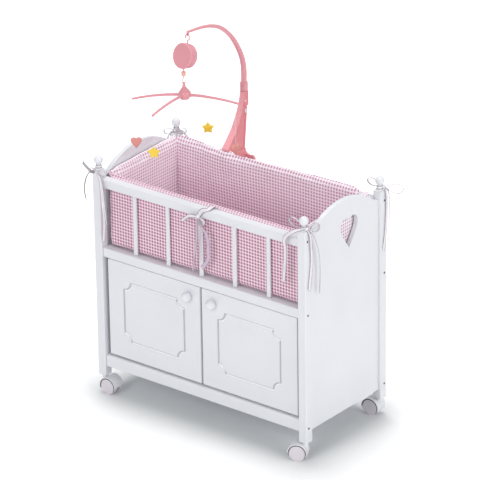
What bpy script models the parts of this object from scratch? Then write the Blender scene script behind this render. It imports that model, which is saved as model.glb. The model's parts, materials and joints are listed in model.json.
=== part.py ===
"""Doll cot: a crib over a two-door cabinet on casters, padded inside, with a musical mobile.

Metres, +Z up. The doors face -Y. The origin is on the floor, under the middle of the outline.
"""

import math

import bmesh
import bpy
from mathutils import Matrix, Vector
from mathutils.geometry import interpolate_bezier

# Fits shared by all the pieces
GAP = 0.0003
OVERRUN = 0.004
EMBED = 0.003
WELD = 0.00001

# Frame
FRAME_LENGTH = 0.520
FRAME_DEPTH = 0.258
POST_SIDE = 0.019
POST_HEIGHT = 0.442
FOOT_LENGTH = 0.0207
BOTTOM_RAIL_HEIGHT = 0.0258
CABINET_OPENING = 0.2127
MIDDLE_RAIL_HEIGHT = 0.0195
CRIB_OPENING = 0.1277
TOP_RAIL_HEIGHT = 0.018
RAIL_THICKNESS = 0.019
RAIL_RECESS = 0.003
WOOD_EDGE = 0.0012

# Finials
FINIAL_BALL_RADIUS = 0.0093
FINIAL_NECK_RADIUS = 0.0046
FINIAL_COLLAR_RADIUS = 0.0075
FINIAL_COLLAR_HEIGHT = 0.0025
FINIAL_BALL_RISE = 0.0183

# Slats
SLAT_COUNT = 5
SLAT_WIDTH = 0.009
SLAT_THICKNESS = 0.005

# End panels
PANEL_THICKNESS = 0.009
PANEL_RECESS = 0.006
ARCH_RADIUS = 0.155
ARCH_FILLET = 0.020
ARCH_SHOULDER = 0.0008
HEART_WIDTH = 0.055
HEART_HEIGHT = 0.064
HEART_DROP = 0.0344
HEART_SHIFT = 0.0165

# Floors and back
FLOOR_THICKNESS = 0.006
CRIB_FLOOR_DROP = 0.0032
BACK_THICKNESS = 0.004

# Doors
DOOR_THICKNESS = 0.012
DOOR_RECESS = 0.008
DOOR_SIDE_GAP = 0.007
DOOR_CENTRE_GAP = 0.003
DOOR_TOP_GAP = 0.0042
DOOR_BOTTOM_GAP = 0.0027
GROOVE_WIDTH = 0.151
GROOVE_HEIGHT = 0.127
GROOVE_SCOOP = 0.0175
GROOVE_RADIUS = 0.0042
GROOVE_DEPTH = 0.0020
PIN_INSET = 0.008
PIN_RADIUS = 0.002
PIN_REACH = 0.008
PIN_PLAY = 0.0003

# Knobs
KNOB_RADIUS = 0.0105
KNOB_STANDOFF = 0.009
KNOB_FROM_EDGE = 0.0285
KNOB_BELOW_TOP = 0.024
KNOB_SPIGOT_RADIUS = 0.003
KNOB_SPIGOT_DEPTH = 0.006

# Casters
CASTER_HEIGHT = 0.038
WHEEL_RADIUS = 0.017
WHEEL_WIDTH = 0.0092
WHEEL_EDGE = 0.0015
WHEEL_DISH_RADIUS = 0.0115
WHEEL_DISH_DEPTH = 0.0008
HOOD_RADIUS = 0.0195
HOOD_WIDTH = 0.028
HOOD_WEB = 0.007
HOOD_POCKET_PLAY = 0.0008
HOOD_SKIRT = 0.004
WHEEL_SIDE_PLAY = 0.0005
CASTER_TRAIL = 0.0147
AXLE_RADIUS = 0.002
AXLE_PLAY = 0.0003
STEM_RADIUS = 0.003
STEM_LENGTH = 0.025
STEM_PLAY = 0.0003
BOSS_RADIUS = 0.0055
CASTER_TURNS = {"front_left": 182.0, "front_right": 26.0, "back_left": 12.0, "back_right": 5.0}

# Padding
BUMPER_THICKNESS = 0.0125
BUMPER_BULGE = 0.0046
BUMPER_FRONT_RISE = 0.0045
BUMPER_BACK_RISE = 0.0245
BUMPER_END_RISE = 0.0240
BUMPER_PANEL_GAP = 0.0030
BUMPER_CORNER_GAP = 0.0008
CLAMP_DENT_PLAY = 0.0012
CLAMP_DENT_REACH = 0.045
CLAMP_DENT_MARGIN = 0.016
CLAMP_DENT_THROUGH_SHARE = 0.5
MATTRESS_THICKNESS = 0.020
MATTRESS_CROWN = 0.006
MATTRESS_GAP = 0.004

# Mobile clamp and its screw
MOBILE_X = -0.107
CLAMP_BASE_WIDTH = 0.0158
CLAMP_TOP_WIDTH = 0.0110
CLAMP_WEB = 0.0080
CLAMP_FLANGE = 0.0034
CLAMP_JAW_THICKNESS = 0.0070
CLAMP_LIP_REACH = 0.0127
CLAMP_LIP_THICKNESS = 0.0040
CLAMP_JAW_DEPTH = 0.018
CLAMP_BASE_HEIGHT = 0.007
CLAMP_HEIGHT = 0.1246
CLAMP_BACK_FOOT = 0.0245
CLAMP_BACK_TOP = 0.0370
CLAMP_TOP_DEPTH = 0.0120
CLAMP_FRONT_LOW = 0.0216
CLAMP_HEAD_HEIGHT = 0.030
CLAMP_SLOT_RADIUS = 0.0020
CLAMP_SLOT_HEIGHTS = (0.085, 0.105)
SCREW_RADIUS = 0.003
SCREW_PLAY = 0.0003
SCREW_BELOW_TOP = 0.008
SCREW_NECK = 0.004
WING_HALF_LENGTH = 0.027
WING_PADDLE_RADIUS = 0.0080
WING_BAR_HALF_HEIGHT = 0.0036
WING_THICKNESS = 0.005
WING_TURN = 22.0

# Mobile arm
ARM_BASE_WIDTH = 0.0118
ARM_COLLAR_SIDE = 0.0122
ARM_COLLAR_HEIGHT = 0.0198
ARM_SPIGOT_RADIUS = 0.003
ARM_SPIGOT_LENGTH = 0.014
ARM_SPIGOT_PLAY = 0.0003
ARM_REACH = 0.1710
ARM_RISE = 0.1550
ARM_SHARES = (
    (0.0, 0.0, 1.00), (-0.003, 0.139, 0.98), (0.0145, 0.272, 0.95), (0.052, 0.388, 0.92),
    (0.112, 0.511, 0.88), (0.187, 0.634, 0.83), (0.277, 0.744, 0.78), (0.413, 0.861, 0.71),
    (0.550, 0.929, 0.64), (0.717, 0.973, 0.57), (0.868, 0.990, 0.50), (1.0, 1.0, 0.45),
)
EYE_RADIUS = 0.0032
EYE_HOLE_RADIUS = 0.0019
EYE_THICKNESS = 0.0026
EYE_DROP = 0.0046

# Music box, its hanging hook and key
HOOK_WIRE_RADIUS = 0.0011
HOOK_RING_RADIUS = 0.0056
HOOK_STEM_DEPTH = 0.0048
BOX_RADIUS = 0.0250
BOX_TOP_BELOW_EYE = 0.0170
BOX_FORWARD = 0.0069
BOX_TURN = 7.0
BOX_LIFT = 17.0
COVER_THICKNESS = 0.0068
COVER_EDGE = 0.0014
SHELL_THICKNESS = 0.0145
SHELL_INSET = 0.0012
SHELL_EDGE = 0.0045
SHELL_WALL = 0.004
MOVEMENT_LENGTH = 0.026
MOVEMENT_HEIGHT = 0.022
MOVEMENT_DEPTH = 0.005
BARREL_RADIUS = 0.008
KEY_STEM_RADIUS = 0.0022
KEY_STEM_LENGTH = 0.008
KEY_WING_HALF = 0.0095
KEY_WING_RADIUS = 0.0050
KEY_WING_THICKNESS = 0.0030

# Turning spindle and hanger
SPINDLE_FORWARD = 0.0143
SPINDLE_RADIUS = 0.0016
SPINDLE_PLAY = 0.0003
SPINDLE_DEPTH = 0.006
SPINDLE_NECK = 0.0042
BEAD_RADIUS = 0.0045
BEAD_HEIGHT = 0.0095
SPINDLE_WIRE_RADIUS = 0.0009
SPINDLE_LOOP_RADIUS = 0.0040
SPINDLE_LOOP_DROP = 0.0115
HANGER_EYE_RADIUS = 0.0033
HANGER_EYE_HOLE = 0.0020
HANGER_EYE_THICKNESS = 0.0016
HANGER_EYE_LIFT = 0.0005
HUB_RADIUS = 0.0125
HUB_HEIGHT = 0.0290
HUB_APEX_DROP = 0.0018
HANGER_ARM_DROP = 0.0220
HANGER_ARM_LENGTH = 0.117
HANGER_ARM_DROOP = 0.0133
HANGER_ARM_RADIUS = 0.0031
HANGER_ARM_TIP_SHARE = 0.72
HANGER_ARM_START_SHARE = 0.055
HANGER_TURN = 11.1
HANGER_BACK_DROP = 0.0210
HANGER_BACK_START_SHARE = 0.2
HANGER_BACK_TURN = 6.0
HANGER_FRONT_TURN = -4.0
HANGER_TILT = 9.0
HANGER_TILT_TOWARDS = -29.0

# Ornaments on their strings
STRING_RADIUS = 0.0004
ORNAMENT_THICKNESS = 0.0046
ORNAMENT_EDGE = 0.0010
ORNAMENT_HEART_WIDTH = 0.022
ORNAMENT_HEART_HEIGHT = 0.023
ORNAMENT_STAR_RADIUS = 0.0135
ORNAMENT_STAR_WAIST_SHARE = 0.48
ORNAMENTS = {
    "right": ("heart", 0, 0.0085, 0.0840, 12.0),
    "back": ("star", 1, 0.0065, 0.0490, -55.0),
    "left": ("heart", 2, 0.0065, 0.0800, -48.0),
    "front": ("star", 3, 0.0025, 0.0605, -60.0),
}

# Outline shares, of a width and a height
HEART_SHARES = (
    ((0.0, 0.40), (0.05, 0.47), (0.14, 0.50), (0.25, 0.50)),
    ((0.25, 0.50), (0.39, 0.50), (0.50, 0.39), (0.50, 0.24)),
    ((0.50, 0.24), (0.50, 0.02), (0.20, -0.24), (0.0, -0.50)),
)
CLAMP_CURVE_SHARES = (
    (0.0, 0.0), (0.18, 0.10), (0.34, 0.20), (0.50, 0.305), (0.68, 0.475), (0.80, 0.60),
    (0.91, 0.76), (0.975, 0.90), (1.0, 1.0),
)
HUB_SHARES = (
    (0.0, 0.0), (0.20, 0.02), (0.30, 0.16), (0.62, 0.34), (0.96, 0.52), (1.0, 0.64),
    (0.88, 0.80), (0.66, 1.0), (0.0, 1.0),
)
BACK_TOP_SHARES = (0.96, 0.97, 0.98, 0.98, 0.88, 0.76, 0.88, 1.0)

# Stops of the soft pads' cages, shares of a length
FRONT_ACROSS_SHARES = (0.0, 0.03, 0.22, 0.42, 0.58, 0.78, 0.97, 1.0)
BACK_ACROSS_SHARES = (0.0, 0.03, 0.14)
BACK_UP_SHARES = (0.0, 0.05, 0.40, 0.64, 0.94, 1.0)
END_ACROSS_SHARES = (0.0, 0.06, 0.5, 0.94, 1.0)
END_UP_SHARES = (0.0, 0.06, 0.5, 0.93, 1.0)
MATTRESS_ACROSS_SHARES = (0.0, 0.04, 0.35, 0.65, 0.96, 1.0)
MATTRESS_UP_SHARES = (0.0, 0.08, 0.5, 0.92, 1.0)

# Places worked out from the sizes above
HALF_LENGTH = FRAME_LENGTH / 2
HALF_DEPTH = FRAME_DEPTH / 2
POST_X = HALF_LENGTH - POST_SIDE / 2
POST_Y = HALF_DEPTH - POST_SIDE / 2
INNER_X = HALF_LENGTH - POST_SIDE
INNER_Y = HALF_DEPTH - POST_SIDE
RAIL_OUTER_Y = HALF_DEPTH - RAIL_RECESS
RAIL_INNER_Y = RAIL_OUTER_Y - RAIL_THICKNESS
RAIL_MIDDLE_Y = RAIL_OUTER_Y - RAIL_THICKNESS / 2
POST_TOP = CASTER_HEIGHT + POST_HEIGHT
BOTTOM_RAIL_Z = CASTER_HEIGHT + FOOT_LENGTH
CABINET_BASE = BOTTOM_RAIL_Z + BOTTOM_RAIL_HEIGHT
MIDDLE_RAIL_Z = CABINET_BASE + CABINET_OPENING
CRIB_BASE = MIDDLE_RAIL_Z + MIDDLE_RAIL_HEIGHT
TOP_RAIL_Z = CRIB_BASE + CRIB_OPENING
RAIL_TOP = TOP_RAIL_Z + TOP_RAIL_HEIGHT
PANEL_OUTER_X = HALF_LENGTH - PANEL_RECESS
PANEL_INNER_X = PANEL_OUTER_X - PANEL_THICKNESS
CRIB_FLOOR_TOP = CRIB_BASE - CRIB_FLOOR_DROP
DOOR_FRONT_Y = -HALF_DEPTH + DOOR_RECESS
DOOR_MIDDLE_Y = DOOR_FRONT_Y + DOOR_THICKNESS / 2
DOOR_INNER_X = DOOR_CENTRE_GAP / 2
DOOR_OUTER_X = INNER_X - DOOR_SIDE_GAP
DOOR_BASE = CABINET_BASE + DOOR_BOTTOM_GAP
DOOR_TOP = MIDDLE_RAIL_Z - DOOR_TOP_GAP
PIN_X = DOOR_OUTER_X - PIN_INSET
CLAMP_FOOT_Y = RAIL_OUTER_Y + GAP
CLAMP_TOP = RAIL_TOP + CLAMP_HEIGHT
CLAMP_DENT = CLAMP_LIP_REACH + CLAMP_DENT_PLAY
CLAMP_BACK_TOP_Y = RAIL_OUTER_Y + CLAMP_BACK_TOP
ARM_Y = CLAMP_BACK_TOP_Y - CLAMP_TOP_DEPTH / 2
ARM_BASE_Z = CLAMP_TOP + GAP + ARM_COLLAR_HEIGHT
EYE_Y = ARM_Y - ARM_REACH
EYE_Z = ARM_BASE_Z + ARM_RISE * ARM_SHARES[-1][1] - EYE_DROP
HOOK_TOP_Z = EYE_Z - EYE_HOLE_RADIUS + HOOK_WIRE_RADIUS + GAP
BOX_Y = EYE_Y - BOX_FORWARD
BOX_Z = EYE_Z - BOX_TOP_BELOW_EYE - BOX_RADIUS
SPINDLE_Y = EYE_Y - SPINDLE_FORWARD
BEAD_TOP_Z = BOX_Z - BOX_RADIUS - SPINDLE_NECK
HANG_Z = BEAD_TOP_Z - BEAD_HEIGHT - SPINDLE_LOOP_DROP - SPINDLE_LOOP_RADIUS

SIDES = {"left": -1, "right": 1}
BACK_ARM = 1
FRONT_ARM = 3
ON_STRINGS = ("string", "heart", "star")
RAIL_SPANS = {
    "bottom": (BOTTOM_RAIL_Z, BOTTOM_RAIL_HEIGHT),
    "middle": (MIDDLE_RAIL_Z, MIDDLE_RAIL_HEIGHT),
    "top": (TOP_RAIL_Z, TOP_RAIL_HEIGHT),
}


def clear_scene():
    """Remove whatever the scene holds."""
    for item in list(bpy.data.objects):
        bpy.data.objects.remove(item)


def make_collection(name):
    """Add a collection to the scene."""
    collection = bpy.data.collections.new(name)
    bpy.context.scene.collection.children.link(collection)
    return collection


def make_material(name, colour, roughness, metallic=0.0):
    """Add a Principled material."""
    material = bpy.data.materials.new(name)
    material.use_nodes = True
    shader = material.node_tree.nodes["Principled BSDF"]
    shader.inputs["Base Color"].default_value = (*colour, 1.0)
    shader.inputs["Roughness"].default_value = roughness
    shader.inputs["Metallic"].default_value = metallic
    return material


def dress(piece, colour, roughness, metallic=0.0):
    """Give a piece a material of its own."""
    piece.data.materials.clear()
    piece.data.materials.append(make_material(piece.name, colour, roughness, metallic))


def paint_white(piece):
    """Satin white paint."""
    dress(piece, (0.86, 0.87, 0.90), 0.35)


def mould_pink(piece):
    """Pink moulded plastic."""
    dress(piece, (0.82, 0.34, 0.38), 0.35)


def place(piece, collection):
    """Put a piece in its collection and bring its matrix up to date."""
    collection.objects.link(piece)
    bpy.context.view_layer.update()
    return piece


def add_mesh(name, bm, collection, location=(0.0, 0.0, 0.0)):
    """Turn a bmesh into an object."""
    mesh = bpy.data.meshes.new(name)
    bm.to_mesh(mesh)
    bm.free()
    piece = bpy.data.objects.new(name, mesh)
    piece.location = location
    return place(piece, collection)


def add_block(name, low, high, collection, edge=0.0):
    """A box between two corners, with its edges eased."""
    low, high = Vector(low), Vector(high)
    bm = bmesh.new()
    bmesh.ops.create_cube(bm, size=1.0)
    bmesh.ops.scale(bm, vec=high - low, verts=bm.verts)
    piece = add_mesh(name, bm, collection, (low + high) / 2)
    if edge:
        ease(piece, edge)
    return piece


def ease(piece, width, segments=1):
    """Bevel the sharp edges of a piece."""
    bevel = piece.modifiers.new("eased edges", "BEVEL")
    bevel.width = width
    bevel.segments = segments
    bevel.limit_method = "ANGLE"
    return piece


def add_rod(name, radius, start, end, sides, collection):
    """A round bar between two points."""
    start, end = Vector(start), Vector(end)
    bm = bmesh.new()
    bmesh.ops.create_cone(
        bm, cap_ends=True, segments=sides, radius1=radius, radius2=radius, depth=(end - start).length
    )
    piece = add_mesh(name, bm, collection, (start + end) / 2)
    piece.rotation_euler = (end - start).to_track_quat("Z", "Y").to_euler()
    bpy.context.view_layer.update()
    return piece


def add_turned(name, profile, steps, collection, location=(0.0, 0.0, 0.0), rotation=(0.0, 0.0, 0.0)):
    """A turned piece: the profile's points are radius and height, top to bottom."""
    bm = bmesh.new()
    corners = [bm.verts.new((radius, 0.0, height)) for radius, height in profile]
    for upper, lower in zip(corners, corners[1:]):
        bm.edges.new((upper, lower))
    piece = add_mesh(name, bm, collection, location)
    piece.rotation_euler = rotation
    screw = piece.modifiers.new("turned", "SCREW")
    screw.steps = steps
    screw.render_steps = steps
    screw.use_merge_vertices = True
    screw.merge_threshold = WELD
    screw.use_smooth_shade = True
    bpy.context.view_layer.update()
    return piece


def add_profile_curve(name, loops, thickness, collection, matrix):
    """A flat plate from closed outlines, the inner ones holes."""
    curve = bpy.data.curves.new(name, "CURVE")
    curve.dimensions = "2D"
    curve.fill_mode = "BOTH"
    curve.extrude = thickness / 2
    for loop in loops:
        spline = curve.splines.new("POLY")
        spline.points.add(len(loop) - 1)
        for point, (across, up) in zip(spline.points, loop):
            point.co = (across, up, 0.0, 1.0)
        spline.use_cyclic_u = True
    plate = bpy.data.objects.new(name, curve)
    plate.matrix_world = matrix
    return place(plate, collection)


def to_mesh(curved, collection):
    """Swap a curve object for a welded mesh object of the same name."""
    evaluated = curved.evaluated_get(bpy.context.evaluated_depsgraph_get())
    mesh = bpy.data.meshes.new_from_object(evaluated)
    bm = bmesh.new()
    bm.from_mesh(mesh)
    bmesh.ops.remove_doubles(bm, verts=bm.verts, dist=WELD)
    bmesh.ops.recalc_face_normals(bm, faces=bm.faces)
    bm.to_mesh(mesh)
    bm.free()
    matrix = curved.matrix_world.copy()
    name = curved.name
    bpy.data.objects.remove(curved)
    piece = bpy.data.objects.new(name, mesh)
    mesh.name = name
    piece.matrix_world = matrix
    return place(piece, collection)


def add_plate(name, loops, thickness, collection, matrix):
    """A plate as a mesh, ready to be cut."""
    return to_mesh(add_profile_curve(name, loops, thickness, collection, matrix), collection)


def add_tube(name, points, radius, collection, resolution=1, shares=None, closed=False, matrix=None):
    """A round wire or bar along points, as a mesh."""
    curve = bpy.data.curves.new(name, "CURVE")
    curve.dimensions = "3D"
    curve.bevel_depth = radius
    curve.bevel_resolution = resolution
    curve.use_fill_caps = True
    spline = curve.splines.new("POLY")
    spline.points.add(len(points) - 1)
    for index, (point, place_at) in enumerate(zip(spline.points, points)):
        point.co = (*place_at, 1.0)
        if shares:
            point.radius = shares[index]
    spline.use_cyclic_u = closed
    tube = bpy.data.objects.new(name, curve)
    tube.matrix_world = matrix or Matrix.Identity(4)
    return to_mesh(place(tube, collection), collection)


def cut(piece, cutter):
    """Take a cutter out of a piece."""
    return combine(piece, cutter, "DIFFERENCE")


def join(piece, addition):
    """Grow a piece by another shape."""
    return combine(piece, addition, "UNION")


def combine(piece, other, operation):
    """Boolean with a helper, which is drawn as a wire."""
    boolean = piece.modifiers.new(operation.lower(), "BOOLEAN")
    boolean.operation = operation
    boolean.solver = "EXACT"
    boolean.object = other
    other.hide_render = True
    other.display_type = "WIRE"
    return piece


def plane_yz(x=0.0):
    """Matrix that lays an outline's across and up along Y and Z."""
    return Matrix.Translation((x, 0.0, 0.0)) @ Matrix.Rotation(math.pi / 2, 4, "Z") @ Matrix.Rotation(
        math.pi / 2, 4, "X"
    )


def plane_facing(azimuth, centre):
    """Matrix that stands an outline upright, facing along an azimuth in degrees."""
    turn = math.radians(azimuth) + math.pi / 2
    return Matrix.Translation(centre) @ Matrix.Rotation(turn, 4, "Z") @ Matrix.Rotation(
        math.pi / 2, 4, "X"
    )


def arc_points(centre, radius, start, end, count):
    """Points on an arc, in degrees, both ends included."""
    across, up = centre
    points = []
    for index in range(count + 1):
        angle = math.radians(start + (end - start) * index / count)
        points.append((across + radius * math.cos(angle), up + radius * math.sin(angle)))
    return points


def heart_outline(width, height, steps):
    """A heart about its centre, from three curves for each half."""
    right = []
    for shares in HEART_SHARES:
        knots = [Vector((across * width, up * height)) for across, up in shares]
        right += [tuple(point) for point in interpolate_bezier(*knots, steps + 1)[:-1]]
    left = [(-across, up) for across, up in reversed(right[1:])]
    tip = (0.0, -height / 2)
    return right + [tip] + left


def star_outline(radius):
    """A five-pointed star about its centre."""
    points = []
    for index in range(10):
        reach = radius if index % 2 == 0 else radius * ORNAMENT_STAR_WAIST_SHARE
        angle = math.pi / 2 + index * math.pi / 5
        points.append((reach * math.cos(angle), reach * math.sin(angle)))
    return points


def add_axis(name, location, collection, rotation=(0.0, 0.0, 0.0)):
    """An empty on a joint's axis."""
    axis = bpy.data.objects.new(name, None)
    axis.location = location
    axis.rotation_euler = rotation
    axis.empty_display_size = POST_SIDE
    return place(axis, collection)


def carry(axis, *pieces):
    """Parent pieces to an empty and keep them where they are."""
    bpy.context.view_layer.update()
    for piece in pieces:
        piece.parent = axis
        piece.matrix_parent_inverse = axis.matrix_world.inverted()


def finial_profile():
    """Ball, neck and collar above the post's top, and a root inside it."""
    neck_angle = math.degrees(math.asin(FINIAL_NECK_RADIUS / FINIAL_BALL_RADIUS)) - 90
    ball = arc_points((0.0, FINIAL_BALL_RISE), FINIAL_BALL_RADIUS, 90, neck_angle, 7)
    ball[0] = (0.0, ball[0][1])
    collar = [
        (FINIAL_NECK_RADIUS, FINIAL_COLLAR_HEIGHT),
        (FINIAL_COLLAR_RADIUS, FINIAL_COLLAR_HEIGHT),
        (FINIAL_COLLAR_RADIUS, -EMBED),
        (0.0, -EMBED),
    ]
    return ball + collar


def build_posts(parts, cutters):
    """Four square posts with ball finials and sockets for the caster stems."""
    for depth_name, depth_sign in (("front", -1), ("back", 1)):
        for side, sign in SIDES.items():
            x, y = sign * POST_X, depth_sign * POST_Y
            half = POST_SIDE / 2
            name = f"post_{depth_name}_{side}"
            post = add_block(
                name, (x - half, y - half, CASTER_HEIGHT), (x + half, y + half, POST_TOP), parts, WOOD_EDGE
            )
            join(post, add_turned(f"{name}_finial", finial_profile(), 16, cutters, (x, y, POST_TOP)))
            socket_top = CASTER_HEIGHT + STEM_LENGTH + GAP
            cut(post, add_rod(
                f"{name}_socket", STEM_RADIUS + STEM_PLAY,
                (x, y, CASTER_HEIGHT - OVERRUN), (x, y, socket_top), 12, cutters,
            ))
            paint_white(post)


def panel_outline():
    """An arched board: a wide arc that runs out through small fillets to flat shoulders."""
    half = INNER_Y - GAP
    fillet_y = half - ARCH_SHOULDER
    fillet_z = RAIL_TOP + ARCH_FILLET
    centre_z = fillet_z - math.sqrt((ARCH_RADIUS + ARCH_FILLET) ** 2 - fillet_y ** 2)
    meeting = math.degrees(math.atan2(fillet_z - centre_z, fillet_y))
    arch = arc_points((0.0, centre_z), ARCH_RADIUS, meeting, 180 - meeting, 18)
    right = arc_points((fillet_y, fillet_z), ARCH_FILLET, -90, meeting - 180, 4)[:-1]
    left = [(-across, up) for across, up in reversed(right)]
    base = [(-half, RAIL_TOP), (-half, BOTTOM_RAIL_Z), (half, BOTTOM_RAIL_Z), (half, RAIL_TOP)]
    return base + right + arch + left


def build_panels(parts):
    """Two arched end panels with a heart cut through each."""
    heart_z = RAIL_TOP - HEART_DROP
    heart = [
        (across + HEART_SHIFT, up + heart_z)
        for across, up in heart_outline(HEART_WIDTH, HEART_HEIGHT, 4)
    ]
    for side, sign in SIDES.items():
        x = sign * (PANEL_OUTER_X - PANEL_THICKNESS / 2)
        panel = add_plate(
            f"end_panel_{side}", (panel_outline(), heart), PANEL_THICKNESS, parts, plane_yz(x)
        )
        paint_white(panel)


def build_rails(parts, cutters):
    """Three rails at the front and three at the back, the lower front ones bored for pins."""
    reach = INNER_X - GAP
    for depth_name, depth_sign in (("front", -1), ("back", 1)):
        nearest, farthest = sorted((depth_sign * RAIL_OUTER_Y, depth_sign * RAIL_INNER_Y))
        for level, (base, height) in RAIL_SPANS.items():
            name = f"rail_{depth_name}_{level}"
            rail = add_block(
                name, (-reach, nearest, base), (reach, farthest, base + height), parts, WOOD_EDGE
            )
            if depth_name == "front" and level != "top":
                bore_for_pins(rail, level, cutters)
            paint_white(rail)


def bore_for_pins(rail, level, cutters):
    """Blind holes in a rail for the door pins."""
    for side, sign in SIDES.items():
        x = sign * PIN_X
        if level == "bottom":
            span = (CABINET_BASE - PIN_REACH - GAP, CABINET_BASE + OVERRUN)
        else:
            span = (MIDDLE_RAIL_Z - OVERRUN, MIDDLE_RAIL_Z + PIN_REACH + GAP)
        cut(rail, add_rod(
            f"{rail.name}_bore_{side}", PIN_RADIUS + PIN_PLAY,
            (x, DOOR_MIDDLE_Y, span[0]), (x, DOOR_MIDDLE_Y, span[1]), 12, cutters,
        ))


def build_slats(parts):
    """Upright slats between the middle and top rails."""
    between = (2 * INNER_X - SLAT_COUNT * SLAT_WIDTH) / (SLAT_COUNT + 1)
    for depth_name, depth_sign in (("front", -1), ("back", 1)):
        middle = depth_sign * RAIL_MIDDLE_Y
        for index in range(SLAT_COUNT):
            start = -INNER_X + between + index * (between + SLAT_WIDTH)
            low = (start, middle - SLAT_THICKNESS / 2, CRIB_BASE + GAP)
            high = (start + SLAT_WIDTH, middle + SLAT_THICKNESS / 2, TOP_RAIL_Z - GAP)
            paint_white(add_block(f"slat_{depth_name}_{index + 1}", low, high, parts, WOOD_EDGE))


def build_boards(parts):
    """The crib floor, the cabinet floor and the cabinet back."""
    half_x = PANEL_INNER_X - GAP
    half_y = RAIL_INNER_Y - GAP
    for name, top in (("crib_floor", CRIB_FLOOR_TOP), ("cabinet_floor", CABINET_BASE)):
        board = add_block(
            name, (-half_x, -half_y, top - FLOOR_THICKNESS), (half_x, half_y, top), parts
        )
        paint_white(board)
    back = add_block(
        "cabinet_back",
        (-INNER_X + GAP, RAIL_MIDDLE_Y - BACK_THICKNESS / 2, CABINET_BASE + GAP),
        (INNER_X - GAP, RAIL_MIDDLE_Y + BACK_THICKNESS / 2, MIDDLE_RAIL_Z - GAP),
        parts,
    )
    paint_white(back)


def groove_path(centre_x):
    """A rectangle whose corners are scooped inwards, on the door's face."""
    half_x, half_z = GROOVE_WIDTH / 2, GROOVE_HEIGHT / 2
    middle = (DOOR_BASE + DOOR_TOP) / 2
    corners = ((1, 1, 270, 180), (-1, 1, 360, 270), (-1, -1, 90, 0), (1, -1, 180, 90))
    path = []
    for across, up, start, end in corners:
        centre = (centre_x + across * half_x, middle + up * half_z)
        path += arc_points(centre, GROOVE_SCOOP, start, end, 5)
    depth = DOOR_FRONT_Y - GROOVE_RADIUS + GROOVE_DEPTH
    return [(across, depth, up) for across, up in path]


def build_doors(parts, cutters):
    """Two doors with a routed groove and pressed-in pivot pins, and their knobs."""
    for side, sign in SIDES.items():
        near, far = sorted((sign * DOOR_INNER_X, sign * DOOR_OUTER_X))
        name = f"door_{side}"
        door = add_block(
            name, (near, DOOR_FRONT_Y, DOOR_BASE), (far, DOOR_FRONT_Y + DOOR_THICKNESS, DOOR_TOP),
            parts, WOOD_EDGE,
        )
        groove = groove_path((near + far) / 2)
        cut(door, add_tube(f"{name}_groove", groove, GROOVE_RADIUS, cutters, 2, closed=True))
        pin_x = sign * PIN_X
        spans = (
            ("low", CABINET_BASE - PIN_REACH, DOOR_BASE + PIN_REACH),
            ("high", DOOR_TOP - PIN_REACH, MIDDLE_RAIL_Z + PIN_REACH),
        )
        for level, base, top in spans:
            join(door, add_rod(
                f"{name}_pin_{level}", PIN_RADIUS, (pin_x, DOOR_MIDDLE_Y, base),
                (pin_x, DOOR_MIDDLE_Y, top), 12, cutters,
            ))
        paint_white(door)
        knob_x = sign * (DOOR_INNER_X + KNOB_FROM_EDGE)
        knob_z = DOOR_TOP - KNOB_BELOW_TOP
        cut(door, add_rod(
            f"{name}_knob_hole", KNOB_SPIGOT_RADIUS + GAP,
            (knob_x, DOOR_FRONT_Y - OVERRUN, knob_z),
            (knob_x, DOOR_FRONT_Y + KNOB_SPIGOT_DEPTH + GAP, knob_z), 12, cutters,
        ))
        knob = build_knob(side, (knob_x, DOOR_FRONT_Y, knob_z), parts)
        axis = add_axis(f"axis_door_{side}", (pin_x, DOOR_MIDDLE_Y, DOOR_BASE), parts)
        carry(axis, door, knob)


def build_knob(side, seat, parts):
    """A round knob with a flat back and a spigot in the door."""
    flat_radius = math.sqrt(KNOB_RADIUS ** 2 - (KNOB_STANDOFF - GAP) ** 2)
    back_angle = -math.degrees(math.acos(flat_radius / KNOB_RADIUS))
    ball = arc_points((0.0, KNOB_STANDOFF), KNOB_RADIUS, 90, back_angle, 7)
    ball[0] = (0.0, ball[0][1])
    root = [
        (KNOB_SPIGOT_RADIUS, GAP),
        (KNOB_SPIGOT_RADIUS, -KNOB_SPIGOT_DEPTH),
        (0.0, -KNOB_SPIGOT_DEPTH),
    ]
    knob = add_turned(f"knob_{side}", ball + root, 18, parts, seat, (math.pi / 2, 0.0, 0.0))
    paint_white(knob)
    return knob


def build_casters(parts, cutters):
    """Four swivel casters, each a hood with its stem and a pair of wheels on one axle."""
    for depth_name, depth_sign in (("front", -1), ("back", 1)):
        for side, sign in SIDES.items():
            corner = f"{depth_name}_{side}"
            build_caster(corner, sign * POST_X, depth_sign * POST_Y, parts, cutters)


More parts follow.
